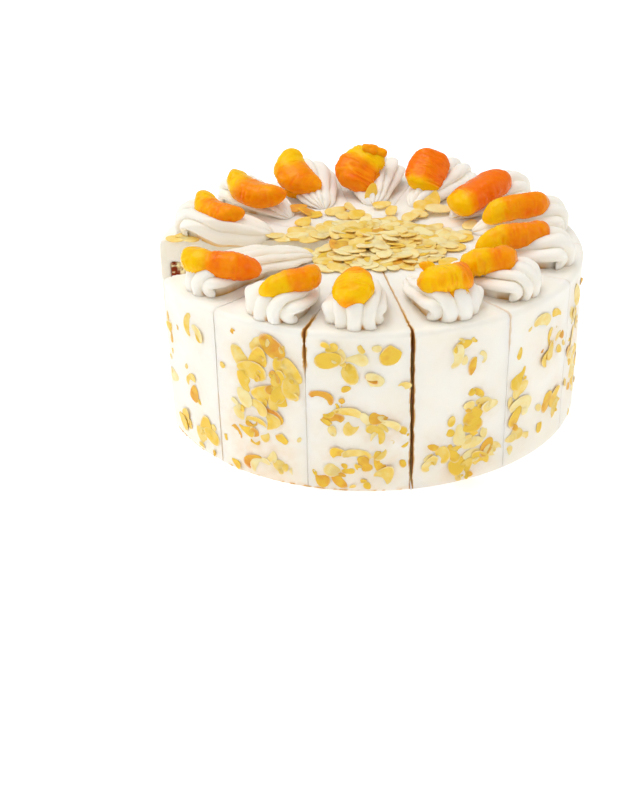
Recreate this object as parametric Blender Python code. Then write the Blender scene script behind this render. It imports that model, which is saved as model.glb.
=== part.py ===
# Round cream cake with mandarins and flaked almonds, cut into fourteen slices, one taken out.
# Metres, +Z up. The cake's axis is the Z axis and its foot is at z = 0.
# Angles are degrees round the axis from the front (-Y) towards the right (+X).

import math
import random

import bmesh
import bpy
from mathutils import Matrix, Vector

# The cake's body and its cuts.
CAKE_RADIUS = 0.120
BODY_HEIGHT = 0.090
SLICES_IN_RING = 14
PITCH = 360 / SLICES_IN_RING
FIRST_ANGLE = -53.8  # middle of slice 1, the first one past the missing slice
MISSING = 0
CUT_GAP = 0.0008
WIDE_CUTS = {2: 0.0014, 3: 0.0024}  # cuts that stand open, by the slice before them
RIM_ROUNDING = 0.005
RIM_SEGMENTS = 2
CLEARANCE = 0.0003  # between pieces that touch
WALL_SEGMENTS = 5

# The two slices beside the missing one, whose layers show at the cut.
COAT_THICKNESS = 0.0055
LAYER_WAVE = 0.0007
LAYER_STOPS = (0.04, 0.078)  # radii where a layer's faces may bend
LAYER_TOPS = (  # name, height of its top at the tip and at the outer edge
    ("sponge_bottom", 0.017, 0.021),
    ("filling_lower", 0.026, 0.026),
    ("sponge_middle", 0.045, 0.047),
    ("filling_upper", 0.053, 0.052),
    ("sponge_top", 0.076, 0.076),
)

# Piped cream shells, fat end outwards.
SHELL_LENGTH = 0.056
SHELL_WIDTH = 0.034
SHELL_HEIGHT = 0.017
SHELL_FRONT = 0.1145  # radius of its outer end
SHELL_PIVOT = 0.012  # its ridges arch over a point this far behind its outer end
SHELL_RIDGES = 6
SHELL_GROOVE = 0.13  # depth of the grooves between the ridges, as a share
SHELL_FOOT_GROOVE = 0.05  # the same where its outer end meets the cake
SHELL_FOOT_WIDTH = 0.86
SHELL_SCALES = (0.96, 1.04)
SHELL_TURNS = (-4, 4)  # of its tail to one side, in degrees
HEAD_ANGLES = (0, 28, 58, 90)
TAIL_STOPS = (0.3, 0.55, 0.8, 1.0)
TAIL_TAPER = 1.35
TAIL_WIDTH = 0.008
TAIL_HEIGHT = 0.005

# Mandarin segments.
SEGMENT_THICKNESS = 0.012
SEGMENT_DROOP = 0.0037  # of its ends below its middle
SEGMENT_STATIONS = 6
SEGMENT_SECTION = (  # half thickness and height, as shares, from the thin edge to the back
    (0.35, 0.10),
    (0.85, 0.50),
    (0.90, 0.85),
)
# By slice: angle, radius and height of the middle above the cake's top, length and depth,
# heading of its long axis from +X, roll (0 has the back up) and pitch, in metres and degrees.
SEGMENT_PLACES = {
    1: (-50, 0.100, 0.0145, 0.044, 0.021, -12, 80, -2),
    2: (-23, 0.100, 0.0155, 0.034, 0.018, 27, 66, 2),
    3: (-4, 0.103, 0.0170, 0.027, 0.021, 78, 84, 20),
    4: (22, 0.099, 0.0155, 0.030, 0.023, 22, 68, 4),
    5: (43, 0.091, 0.0155, 0.031, 0.020, 8, 68, 0),
    6: (68, 0.084, 0.0155, 0.042, 0.018, 6, 70, 1),
    7: (97, 0.084, 0.0165, 0.040, 0.017, 10, 62, 2),
    8: (122, 0.078, 0.0155, 0.045, 0.024, 38, 84, 12),
    9: (153, 0.083, 0.0160, 0.031, 0.024, -115, 72, -30),
    10: (-176, 0.083, 0.0165, 0.033, 0.025, -128, 70, -28),
    11: (-148, 0.085, 0.0150, 0.036, 0.021, -52, 104, -20),
    12: (-123.5, 0.083, 0.0140, 0.041, 0.020, -38, 98, -5),
    13: (-100.7, 0.089, 0.0140, 0.037, 0.018, -42, 98, -5),
}

# Almond flakes.
FLAKE_LENGTH = 0.014
FLAKE_WIDTH = 0.0088
FLAKE_THICKNESS = 0.0024  # half of it is sunk into what the flake lies on
FLAKE_SIDES = 7
FLAKE_POINT = 0.22  # how much narrower it gets towards its pointed end, as a share
WALL_FLAKE_PROUD = 0.0001
WALL_FLAKE_TILTS = (2, 7)
WALL_FLAKE_SCALES = (0.80, 1.05)
WALL_MARGIN = 0.0075  # from a flake's middle to the nearest cut or the foot
RIM_MARGIN = 0.011  # and to the top
# Clusters on the wall by slice: share of the way across, height, flakes, reach.
WALL_CLUSTERS = {
    1: (
        (0.15, 0.060, 2, 0.007), (0.68, 0.072, 2, 0.006), (0.12, 0.034, 1, 0), (0.60, 0.039, 2, 0.006),
        (0.76, 0.014, 3, 0.007), (0.30, 0.012, 2, 0.006),
    ),
    2: (
        (0.38, 0.064, 4, 0.010), (0.80, 0.062, 5, 0.012), (0.50, 0.046, 4, 0.011), (0.30, 0.030, 4, 0.010),
        (0.62, 0.028, 3, 0.008), (0.55, 0.012, 5, 0.015), (0.62, 0.079, 2, 0.006),
    ),
    3: (
        (0.30, 0.079, 2, 0.006), (0.48, 0.073, 2, 0.006), (0.66, 0.064, 1, 0), (0.80, 0.079, 1, 0),
        (0.15, 0.054, 1, 0), (0.22, 0.037, 2, 0.006), (0.48, 0.041, 3, 0.007), (0.75, 0.036, 4, 0.009),
        (0.33, 0.018, 3, 0.009), (0.66, 0.016, 4, 0.010), (0.20, 0.009, 2, 0.007),
    ),
    4: (
        (0.48, 0.077, 2, 0.005), (0.62, 0.066, 1, 0), (0.70, 0.041, 3, 0.007), (0.50, 0.031, 2, 0.006),
        (0.25, 0.021, 3, 0.008), (0.52, 0.014, 5, 0.010), (0.78, 0.014, 3, 0.007),
    ),
    5: (
        (0.72, 0.076, 1, 0), (0.46, 0.077, 1, 0), (0.66, 0.060, 4, 0.009), (0.15, 0.046, 2, 0.006),
        (0.18, 0.031, 2, 0.006), (0.74, 0.025, 3, 0.008), (0.22, 0.014, 2, 0.006),
    ),
    6: ((0.22, 0.070, 3, 0.010), (0.30, 0.049, 4, 0.012), (0.40, 0.028, 4, 0.012)),
}
# On each of the other slices, before they are shifted by up to these amounts.
PLAIN_CLUSTERS = ((0.30, 0.030, 3, 0.013), (0.70, 0.024, 2, 0.010), (0.50, 0.062, 2, 0.010))
SHARE_SHIFT = 0.1
HEIGHT_SHIFT = 0.008
# Single flakes on the top, beside the tails of the shells.
TOP_FLAKE_SLICES = (6, 8, 9, 11, 12, 13)
TOP_FLAKE_RADIUS = 0.061
TOP_FLAKE_ASIDE = 0.0098
TOP_FLAKE_SCALE = 0.68
TOP_FLAKE_TILT = 3
GOLDEN_ANGLE = math.radians(137.5)

# The almond heap in the middle of the top.
HEAP_CENTRE = (0.005, 0.006)
HEAP_RADIUS = 0.043
HEAP_HEIGHT = 0.0055
HEAP_EDGE = 0.0022
HEAP_SECTORS = 18
HEAP_FLAKES = 52
HEAP_REACH = 0.041
HEAP_FLAKE_LIFTS = (0.0002, 0.0014)
HEAP_FLAKE_TILTS = (4, 22)
HEAP_FLAKE_SCALES = (0.85, 1.15)
HEAP_FLATTER_OUT = 0.6  # share of the tilt that is gone at the heap's edge
HEAP_OVERHANG = -0.003  # middles of flakes stay this far back from the missing slice


def clear_scene():
    for item in list(bpy.data.objects):
        bpy.data.objects.remove(item, do_unlink=True)


def make_material(name, colour, roughness):
    material = bpy.data.materials.new(name)
    material.use_nodes = True
    shader = material.node_tree.nodes["Principled BSDF"]
    shader.inputs["Base Color"].default_value = (*colour, 1)
    shader.inputs["Roughness"].default_value = roughness
    shader.inputs["Metallic"].default_value = 0
    material.diffuse_color = (*colour, 1)
    return material


def add_object(name, shape, material):
    """Makes an object of a bmesh, with its faces turned outwards and its round parts smooth."""
    bmesh.ops.remove_doubles(shape, verts=shape.verts, dist=1e-6)
    bmesh.ops.recalc_face_normals(shape, faces=shape.faces)
    mesh = bpy.data.meshes.new(name)
    shape.to_mesh(mesh)
    shape.free()
    mesh.materials.append(material)
    mesh.shade_smooth()
    mesh.set_sharp_from_angle(angle=math.radians(40))
    item = bpy.data.objects.new(name, mesh)
    bpy.context.scene.collection.objects.link(item)
    return item


def add_face(shape, corners):
    distinct = []
    for corner in corners:
        if corner not in distinct:
            distinct.append(corner)
    if len(distinct) > 2:
        shape.faces.new(distinct)


def boolean(item, others, operation):
    """Joins the other objects to this one, or cuts them from it, and removes them."""
    group = bpy.data.collections.new(item.name + "_operands")
    bpy.context.scene.collection.children.link(group)
    for other in others:
        for home in list(other.users_collection):
            home.objects.unlink(other)
        group.objects.link(other)
    modifier = item.modifiers.new(operation.lower(), "BOOLEAN")
    modifier.operation = operation
    modifier.operand_type = "COLLECTION"
    modifier.collection = group
    bpy.context.view_layer.update()
    result = bpy.data.meshes.new_from_object(item.evaluated_get(bpy.context.evaluated_depsgraph_get()))
    item.modifiers.clear()
    item.data = result
    for other in others:
        bpy.data.objects.remove(other, do_unlink=True)
    bpy.data.collections.remove(group)
    result.name = item.name
    result.shade_smooth()
    result.set_sharp_from_angle(angle=math.radians(40))


def outward(angle):
    return Vector((math.sin(math.radians(angle)), -math.cos(math.radians(angle)), 0))


def sideways(angle):
    return Vector((math.cos(math.radians(angle)), math.sin(math.radians(angle)), 0))


def around(angle, radius, z):
    return outward(angle) * radius + Vector((0, 0, z))


def middle_angle(number):
    return FIRST_ANGLE + (number - 1) * PITCH


def cut_gap(number):
    """Width of the cut between this slice and the next one."""
    return WIDE_CUTS.get(number, CUT_GAP)


class Wedge:
    """The space of one slice: two upright cut faces that meet in an edge near the axis."""

    def __init__(self, number):
        self.start = middle_angle(number) - PITCH / 2
        before, after = cut_gap(number - 1) / 2, cut_gap(number) / 2
        first, last = sideways(self.start), sideways(self.start + PITCH)
        across = first.x * last.y - first.y * last.x
        self.tip = Vector((
            (before * last.y + after * first.y) / across,
            (-before * last.x - after * first.x) / across,
            0,
        ))

    def point(self, share, radius, z):
        """A point at this share of the way across; a radius of 0 is the tip's edge."""
        if radius == 0:
            return self.tip + Vector((0, 0, z))
        way = outward(self.start + share * PITCH)
        along = self.tip.dot(way)
        distance = -along + math.sqrt(along**2 - self.tip.length_squared + radius**2)
        return self.tip + way * distance + Vector((0, 0, z))


def wedge_solid(wedge, profile):
    """Sweeps an upright profile of (radius, z) points across the wedge."""
    shape = bmesh.new()
    tips = {z: shape.verts.new(wedge.point(0, 0, z)) for radius, z in profile if radius == 0}
    rings = []
    for step in range(WALL_SEGMENTS + 1):
        share = step / WALL_SEGMENTS
        rings.append([
            tips[z] if radius == 0 else shape.verts.new(wedge.point(share, radius, z))
            for radius, z in profile
        ])
    count = len(profile)
    for ring, following in zip(rings, rings[1:]):
        for i in range(count):
            j = (i + 1) % count
            add_face(shape, (ring[i], ring[j], following[j], following[i]))
    add_face(shape, rings[0])
    add_face(shape, rings[-1])
    return shape


def rim_points():
    """The outer wall's rounded top edge, from the wall to the top."""
    points = []
    for step in range(RIM_SEGMENTS + 1):
        turn = math.radians(90 * step / RIM_SEGMENTS)
        points.append((
            CAKE_RADIUS - RIM_ROUNDING * (1 - math.cos(turn)),
            BODY_HEIGHT - RIM_ROUNDING * (1 - math.sin(turn)),
        ))
    return points


def layer_height(index, radius):
    """Height of the face between layer index - 1 and layer index, which waves a little."""
    if index == 0:
        return 0
    _, tip, edge = LAYER_TOPS[index - 1]
    share = radius / CAKE_RADIUS
    wave = LAYER_WAVE * math.sin(math.pi * (2.5 * share + 0.7 * index)) * math.sin(math.pi * share)
    return tip + (edge - tip) * share + wave


def make_whole_slice(number, material):
    profile = [(0, 0), (CAKE_RADIUS, 0), *rim_points(), (0, BODY_HEIGHT)]
    item = add_object(f"slice_{number:02d}", wedge_solid(Wedge(number), profile), material)
    boolean(item, wall_flakes(number, material) + top_flakes(number, material), "UNION")


def make_layered_slice(number, sponge, filling, coat):
    wedge = Wedge(number)
    inner = CAKE_RADIUS - COAT_THICKNESS
    stops = (0, *LAYER_STOPS, inner - CLEARANCE)
    half = CLEARANCE / 2
    for index, (name, _, _) in enumerate(LAYER_TOPS):
        lift = half if index else 0
        low = [(r, layer_height(index, r) + lift) for r in stops]
        high = [(r, layer_height(index + 1, r) - half) for r in reversed(stops)]
        material = sponge if "sponge" in name else filling
        add_object(f"slice_{number:02d}_{name}", wedge_solid(wedge, low + high), material)
    under = [(r, layer_height(len(LAYER_TOPS), r) + half) for r in (0, *LAYER_STOPS, inner)]
    profile = [*under, (inner, 0), (CAKE_RADIUS, 0), *rim_points(), (0, BODY_HEIGHT)]
    item = add_object(f"slice_{number:02d}_cream_coat", wedge_solid(wedge, profile), coat)
    boolean(item, wall_flakes(number, coat) + top_flakes(number, coat), "UNION")


def flake_shape(length, width, thickness):
    """An oval almond flake with one end a little pointed, lying in the XY plane."""
    shape = bmesh.new()
    rims = []
    for z in (-thickness / 2, thickness / 2):
        rim = []
        for step in range(FLAKE_SIDES):
            turn = 2 * math.pi * step / FLAKE_SIDES
            narrowing = 1 - FLAKE_POINT * math.cos(turn)
            rim.append(shape.verts.new((
                length / 2 * math.cos(turn),
                width / 2 * narrowing * math.sin(turn),
                z,
            )))
        rims.append(rim)
    add_face(shape, rims[0])
    add_face(shape, rims[1])
    for i in range(FLAKE_SIDES):
        j = (i + 1) % FLAKE_SIDES
        add_face(shape, (rims[0][i], rims[0][j], rims[1][j], rims[1][i]))
    return shape


def add_flake(name, place, normal, up, turn, tilt, tilt_turn, scale, material):
    """A flake whose flat face looks along normal, turned within its plane and then tilted."""
    shape = flake_shape(FLAKE_LENGTH * scale, FLAKE_WIDTH * scale, FLAKE_THICKNESS)
    side = up.cross(normal).normalized()
    lie = Matrix((side, normal.cross(side), normal)).transposed()
    lean = Matrix.Rotation(math.radians(tilt), 3, Vector((math.cos(tilt_turn), math.sin(tilt_turn), 0)))
    spin = Matrix.Rotation(turn, 3, "Z")
    bmesh.ops.transform(shape, matrix=(lie @ lean @ spin).to_4x4(), verts=shape.verts)
    bmesh.ops.translate(shape, vec=place, verts=shape.verts)
    return add_object(name, shape, material)


def wall_clusters(number, draw):
    if number in WALL_CLUSTERS:
        return WALL_CLUSTERS[number]
    return [
        (
            share + draw.uniform(-SHARE_SHIFT, SHARE_SHIFT),
            height + draw.uniform(-HEIGHT_SHIFT, HEIGHT_SHIFT),
            count,
            reach,
        )
        for share, height, count, reach in PLAIN_CLUSTERS
    ]


def wall_flakes(number, material):
    """Flakes pressed into the outer wall, spread in each cluster like seeds in a flower head."""
    draw = random.Random(number)
    start = middle_angle(number) - PITCH / 2
    margin = math.degrees(WALL_MARGIN / CAKE_RADIUS)
    flakes = []
    for share, height, count, reach in wall_clusters(number, draw):
        first = draw.uniform(0, 2 * math.pi)
        for i in range(count):
            away = reach * math.sqrt((i + 0.5) / count)
            turn = first + i * GOLDEN_ANGLE
            angle = start + share * PITCH + math.degrees(away * math.cos(turn) / CAKE_RADIUS)
            angle = min(max(angle, start + margin), start + PITCH - margin)
            z = min(max(height + away * math.sin(turn), WALL_MARGIN), BODY_HEIGHT - RIM_MARGIN)
            place = around(angle, CAKE_RADIUS + WALL_FLAKE_PROUD, z)
            flakes.append(add_flake(
                f"flake_{len(flakes)}", place, outward(angle), Vector((0, 0, 1)),
                draw.uniform(0, math.pi), draw.uniform(*WALL_FLAKE_TILTS),
                draw.uniform(0, 2 * math.pi), draw.uniform(*WALL_FLAKE_SCALES), material,
            ))
    return flakes


def top_flakes(number, material):
    """One flake lying along the cut, between this slice's shell and the next one's."""
    if number not in TOP_FLAKE_SLICES:
        return []
    angle = middle_angle(number)
    side = math.copysign(1, shell_draw(number)[1])  # the side its shell's tail turns away from
    place = around(angle, TOP_FLAKE_RADIUS, BODY_HEIGHT) + sideways(angle) * side * TOP_FLAKE_ASIDE
    turn = math.pi / 2 + side * math.radians(PITCH / 2)
    return [add_flake(
        "top_flake", place, Vector((0, 0, 1)), -outward(angle), turn, TOP_FLAKE_TILT, turn,
        TOP_FLAKE_SCALE, material,
    )]


def shell_draw(number):
    """Scale of this slice's shell, and its turn to one side in degrees."""
    draw = random.Random(100 + number)
    return draw.uniform(*SHELL_SCALES), draw.uniform(*SHELL_TURNS)


def shell_ring(pivot, lean, width, height, groove):
    """One ridged arch of the shell, in its own frame: x across, y inwards, z up."""
    points = []
    count = 2 * SHELL_RIDGES
    for step in range(count + 1):
        turn = math.pi * step / count
        size = 1 - groove if step % 2 == 0 and 0 < step < count else 1
        reach = height * math.sin(turn) * size
        points.append((
            width / 2 * math.cos(turn) * size,
            pivot - reach * math.cos(lean),
            reach * math.sin(lean),
        ))
    return points


def shell_shape(scale):
    """A piped shell with its outer end at y = 0."""
    rings = []
    width, height = SHELL_WIDTH * scale, SHELL_HEIGHT * scale
    for degrees in HEAD_ANGLES:
        lean = math.radians(degrees)
        share = math.sin(lean)
        rise = SHELL_PIVOT + (height - SHELL_PIVOT) * share
        broad = width * (SHELL_FOOT_WIDTH + (1 - SHELL_FOOT_WIDTH) * share)
        groove = SHELL_FOOT_GROOVE + (SHELL_GROOVE - SHELL_FOOT_GROOVE) * share
        rings.append(shell_ring(SHELL_PIVOT, lean, broad, rise, groove))
    run = SHELL_LENGTH * scale - SHELL_PIVOT
    for share in TAIL_STOPS:
        taper = 1 - share**TAIL_TAPER
        rings.append(shell_ring(
            SHELL_PIVOT + share * run,
            math.pi / 2,
            TAIL_WIDTH + (width - TAIL_WIDTH) * taper,
            TAIL_HEIGHT + (height - TAIL_HEIGHT) * taper,
            SHELL_GROOVE,
        ))
    shape = bmesh.new()
    rows = [[shape.verts.new(point) for point in ring] for ring in rings]
    for row, following in zip(rows, rows[1:]):
        for i in range(len(row) - 1):
            add_face(shape, (row[i], row[i + 1], following[i + 1], following[i]))
    tail = rows[-1]
    left = [row[-1] for row in rows[1:]]
    right = [row[0] for row in rows[1:]]
    add_face(shape, tail)
    add_face(shape, rows[0] + left + right[::-1])
    return shape


def make_shell(number, material):
    """A shell dented by the fruit that was pressed into it."""
    scale, turn = shell_draw(number)
    shape = shell_shape(scale)
    angle = middle_angle(number)
    place = (
        Matrix.Translation(around(angle, SHELL_FRONT, BODY_HEIGHT + CLEARANCE))
        @ Matrix.Rotation(math.radians(angle + turn), 4, "Z")
    )
    bmesh.ops.transform(shape, matrix=place, verts=shape.verts)
    shell = add_object(f"cream_shell_{number:02d}", shape, material)
    near = [n for n in (number - 1, number, number + 1) if n in SEGMENT_PLACES]
    for n in near:
        boolean(shell, [add_segment("dent", n, material, CLEARANCE)], "DIFFERENCE")


def segment_shape(length, depth, grow):
    """A half-moon of fruit: x along it, y through its thickness, z from its edge to its back."""
    shape = bmesh.new()
    rings = []
    length += 2 * grow
    for step in range(1, SEGMENT_STATIONS + 1):
        share = math.sin(math.pi * (step / (SEGMENT_STATIONS + 1) - 0.5))
        fullness = math.sqrt(1 - abs(share) ** 2.4)
        droop = -SEGMENT_DROOP * share**2
        low = droop - depth / 2 * fullness**2 - grow
        high = droop + depth / 2 * fullness + grow
        half = SEGMENT_THICKNESS / 2 * fullness + grow
        side = [(half * wide, low + (high - low) * rise) for wide, rise in SEGMENT_SECTION]
        section = [(0, low), *side, (0, high), *[(-y, z) for y, z in reversed(side)]]
        rings.append([shape.verts.new((length / 2 * share, y, z)) for y, z in section])
    for ring, following in zip(rings, rings[1:]):
        for i in range(len(ring)):
            j = (i + 1) % len(ring)
            add_face(shape, (ring[i], ring[j], following[j], following[i]))
    for ring, end in ((rings[0], -1), (rings[-1], 1)):
        point = shape.verts.new((end * length / 2, 0, -SEGMENT_DROOP))
        for i in range(len(ring)):
            add_face(shape, (ring[i], ring[(i + 1) % len(ring)], point))
    return shape


def add_segment(name, number, material, grow=0):
    """The fruit of this slice; grow adds to its size on every side."""
    angle, radius, rise, length, depth, heading, roll, pitch = SEGMENT_PLACES[number]
    shape = segment_shape(length, depth, grow)
    place = (
        Matrix.Translation(around(angle, radius, BODY_HEIGHT + rise))
        @ Matrix.Rotation(math.radians(heading), 4, "Z")
        @ Matrix.Rotation(math.radians(-pitch), 4, "Y")
        @ Matrix.Rotation(math.radians(roll), 4, "X")
    )
    bmesh.ops.transform(shape, matrix=place, verts=shape.verts)
    return add_object(name, shape, material)


def heap_edge(angle):
    """Radius of the heap's uneven outline."""
    return HEAP_RADIUS * (1 + 0.07 * math.sin(3 * angle + 1) + 0.05 * math.sin(5 * angle))


def make_heap(material):
    shape = bmesh.new()
    foot = BODY_HEIGHT + CLEARANCE
    top = shape.verts.new((*HEAP_CENTRE, foot + HEAP_HEIGHT))
    rings = []
    for share, z in ((0.6, HEAP_HEIGHT * 0.8), (1.0, HEAP_EDGE), (1.0, 0)):
        ring = []
        for step in range(HEAP_SECTORS):
            angle = 2 * math.pi * step / HEAP_SECTORS
            reach = share * heap_edge(angle)
            ring.append(shape.verts.new((
                HEAP_CENTRE[0] + reach * math.cos(angle),
                HEAP_CENTRE[1] + reach * math.sin(angle),
                foot + z,
            )))
        rings.append(ring)
    for i in range(HEAP_SECTORS):
        j = (i + 1) % HEAP_SECTORS
        add_face(shape, (top, rings[0][i], rings[0][j]))
        for ring, following in zip(rings, rings[1:]):
            add_face(shape, (ring[i], ring[j], following[j], following[i]))
    add_face(shape, rings[-1])
    heap = add_object("almond_heap", shape, material)
    over = BODY_HEIGHT + 2 * HEAP_HEIGHT
    cutter = wedge_solid(Wedge(MISSING), [(0, 0), (CAKE_RADIUS, 0), (CAKE_RADIUS, over), (0, over)])
    boolean(heap, [add_object("missing_slice", cutter, material)], "DIFFERENCE")
    boolean(heap, heap_flakes(foot, material), "UNION")


def depth_in_gap(place):
    """How far a point is inside the space of the missing slice; negative outside it."""
    start = middle_angle(MISSING) - PITCH / 2
    return min(place.dot(sideways(start)), -place.dot(sideways(start + PITCH)))


def heap_flakes(foot, material):
    draw = random.Random(7)
    flakes = []
    for i in range(HEAP_FLAKES):
        share = math.sqrt((i + 0.5) / HEAP_FLAKES)
        turn = i * GOLDEN_ANGLE
        rise = HEAP_EDGE + (HEAP_HEIGHT - HEAP_EDGE) * (1 - share**2)
        rise += draw.uniform(*HEAP_FLAKE_LIFTS)
        reach = share * HEAP_REACH
        place = Vector((
            HEAP_CENTRE[0] + reach * math.cos(turn),
            HEAP_CENTRE[1] + reach * math.sin(turn),
            foot + rise,
        ))
        tilt = draw.uniform(*HEAP_FLAKE_TILTS) * (1 - HEAP_FLATTER_OUT * share)
        turns = draw.uniform(0, math.pi), tilt, draw.uniform(0, 2 * math.pi)
        scale = draw.uniform(*HEAP_FLAKE_SCALES)
        if depth_in_gap(place) < HEAP_OVERHANG:
            up, back = Vector((0, 0, 1)), Vector((0, 1, 0))
            flakes.append(add_flake(f"flake_{i}", place, up, back, *turns, scale, material))
    return flakes


def main():
    clear_scene()
    cream = make_material("whipped_cream", (0.90, 0.86, 0.78), 0.45)
    sponge = make_material("yellow_sponge", (0.80, 0.62, 0.28), 0.9)
    fruit = make_material("mandarin_flesh", (0.95, 0.42, 0.02), 0.3)
    almond = make_material("flaked_almond", (0.85, 0.66, 0.33), 0.6)
    ends = (1, SLICES_IN_RING - 1)
    for number in range(1, SLICES_IN_RING):
        if number in ends:
            make_layered_slice(number, sponge, cream, cream)
        else:
            make_whole_slice(number, cream)
    for number in range(1, SLICES_IN_RING):
        add_segment(f"mandarin_{number:02d}", number, fruit)
        make_shell(number, cream)
    make_heap(almond)


main()
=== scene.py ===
# Round cream cake with mandarins and flaked almonds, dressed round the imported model.
# Metres and +Z up, with mm where a note says so. Angles round the cake are degrees from the front (-Y)
# towards the right (+X).
import math
import random

import bmesh
import bpy
import numpy as np
from mathutils import Matrix, Vector


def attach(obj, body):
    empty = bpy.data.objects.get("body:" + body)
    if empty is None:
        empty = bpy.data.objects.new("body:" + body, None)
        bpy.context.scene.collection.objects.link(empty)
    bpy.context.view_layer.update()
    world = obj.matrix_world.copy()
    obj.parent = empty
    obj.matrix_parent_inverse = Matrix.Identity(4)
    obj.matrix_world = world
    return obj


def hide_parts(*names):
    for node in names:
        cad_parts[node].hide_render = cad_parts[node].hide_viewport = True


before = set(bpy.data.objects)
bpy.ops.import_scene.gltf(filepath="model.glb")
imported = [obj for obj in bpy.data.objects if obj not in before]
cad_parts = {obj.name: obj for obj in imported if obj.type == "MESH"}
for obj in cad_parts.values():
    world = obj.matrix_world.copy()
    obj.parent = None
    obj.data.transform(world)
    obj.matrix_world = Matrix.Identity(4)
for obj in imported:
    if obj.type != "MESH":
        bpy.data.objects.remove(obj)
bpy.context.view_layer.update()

cake = {
    "radius": 0.120,
    "height": 0.090,
    "slices": 14,
    "firstAngle": -53.8,  # middle of slice 1, the first one past the open gap
    "cutGap": 0.0008,
    "wideCuts": {2: 0.0014, 3: 0.0024},  # by the slice before the cut
    "rimRounding": 0.003,
    "coat": 0.0055,  # cream on the wall
}
view = {
    "distance": 0.778,  # from the cake's axis, along the view
    "elevation": 28.85,
    "drop": 0.0121,  # from the foot down to that point of the axis
    "yaw": -2.16,
    "roll": -0.19,
    "focalPixels": 1287,
    "imageWidth": 640,
}
pitch = 360 / cake["slices"]
sliceNumbers = range(1, cake["slices"])
openSlices = (1, cake["slices"] - 1)  # beside the open gap, cut face showing


def outward(angle):
    turn = np.radians(np.asarray(angle, float))
    return np.stack([np.sin(turn), -np.cos(turn), np.zeros_like(turn)], -1)


def sideways(angle):
    turn = np.radians(np.asarray(angle, float))
    return np.stack([np.cos(turn), np.sin(turn), np.zeros_like(turn)], -1)


def middleAngle(number):
    return cake["firstAngle"] + (number - 1) * pitch


def cutGap(number):
    return cake["wideCuts"].get(number, cake["cutGap"])


def smooth(low, high, x):
    share = np.clip((x - low) / (high - low), 0, 1)
    return share * share * (3 - 2 * share)


# A smooth random field from -1 to 1, whose grain has this size in metres.
def noise(points, size, seed, octaves=1):
    total, weight = 0, 1
    for octave in range(octaves):
        place = points / size * 2**octave + 17.31 * (seed + octave)
        cell = np.floor(place).astype(np.int64)
        part = place - cell
        part = part * part * (3 - 2 * part)
        for corner in range(8):
            step = np.array([corner & 1, corner >> 1 & 1, corner >> 2 & 1])
            key = (cell + step) @ np.array([374761393, 668265263, 1274126177]) + 362437 * seed
            key = ((key ^ (key >> 13)) & 0xFFFFFFFF) * 1274126177 & 0xFFFFFFFF
            value = (key ^ (key >> 16)) / 0x7FFFFFFF - 1
            total = total + weight * value * np.prod(np.where(step, part, 1 - part), -1)
        weight /= 2
    return total


def unit(vectors):
    return vectors / np.maximum(np.linalg.norm(vectors, axis=1), 1e-6)[:, None]


# Faces between rows of points. The last point of a closed row joins its first.
def gridFaces(rows, columns, closed=False):
    faces = []
    for i in range(rows - 1):
        for j in range(columns - (not closed)):
            k = (j + 1) % columns
            faces.append((i * columns + j, i * columns + k, (i + 1) * columns + k, (i + 1) * columns + j))
    return faces


def addObject(name, data):
    item = bpy.data.objects.new(name, data)
    bpy.context.scene.collection.objects.link(item)
    return item


# Values at the points of a mesh, which its material reads.
def addShades(mesh, shades):
    for key, values in shades.items():
        mesh.attributes.new(key, "FLOAT", "POINT").data.foreach_set("value", np.asarray(values, float))


# Makes a piece of points and faces, and cleans its mesh.
def addPiece(name, points, faces, materials, nodes, shades, sharp=50, faceSlots=None):
    mesh = bpy.data.meshes.new(name)
    mesh.from_pydata(np.asarray(points, float).tolist(), [], faces)
    if faceSlots:
        mesh.polygons.foreach_set("material_index", faceSlots)
    addShades(mesh, shades)
    form = bmesh.new()
    form.from_mesh(mesh)
    bmesh.ops.remove_doubles(form, verts=form.verts, dist=1e-6)
    bmesh.ops.recalc_face_normals(form, faces=form.faces)
    form.to_mesh(mesh)
    form.free()
    finishPiece(name, mesh, materials, nodes, sharp)


# Gives a piece its materials, and ties it to the frame.
def finishPiece(name, mesh, materials, nodes, sharp):
    for material in materials:
        mesh.materials.append(material)
    mesh.shade_smooth()
    mesh.set_sharp_from_angle(angle=math.radians(sharp))
    piece = addObject(name, mesh)
    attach(piece, "root")
    if nodes:
        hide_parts(*nodes)


# Materials

def linear(code):
    parts = [int(code[i:i + 2], 16) / 255 for i in (1, 3, 5)]
    return (*[p / 12.92 if p < 0.04045 else ((p + 0.055) / 1.055) ** 2.4 for p in parts], 1)


# Fills inputs, by name or in order, with numbers, hex colours or the outputs of other nodes.
def fillInputs(tree, node, inputs):
    for key, value in inputs.items() if isinstance(inputs, dict) else enumerate(inputs):
        if isinstance(value, bpy.types.NodeSocket):
            tree.links.new(value, node.inputs[key])
        else:
            node.inputs[key].default_value = linear(value) if isinstance(value, str) else value


# Adds a node with its settings and inputs, and gives back its output.
def addNode(tree, kind, inputs=(), out=0, **settings):
    node = tree.nodes.new("ShaderNode" + kind)
    for key, value in settings.items():
        setattr(node, key, value)
    fillInputs(tree, node, inputs)
    return node.outputs[out]


colours = {"out": 2, "data_type": "RGBA"}  # settings of a Mix node that mixes its inputs 6 and 7


def startMaterial(name, sockets):
    material = bpy.data.materials.new(name)
    material.use_nodes = True
    tree = material.node_tree
    shader = tree.nodes["Principled BSDF"]
    fillInputs(tree, shader, sockets)
    return material, tree, shader, addNode(tree, "TexCoord", out="Object")


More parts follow.
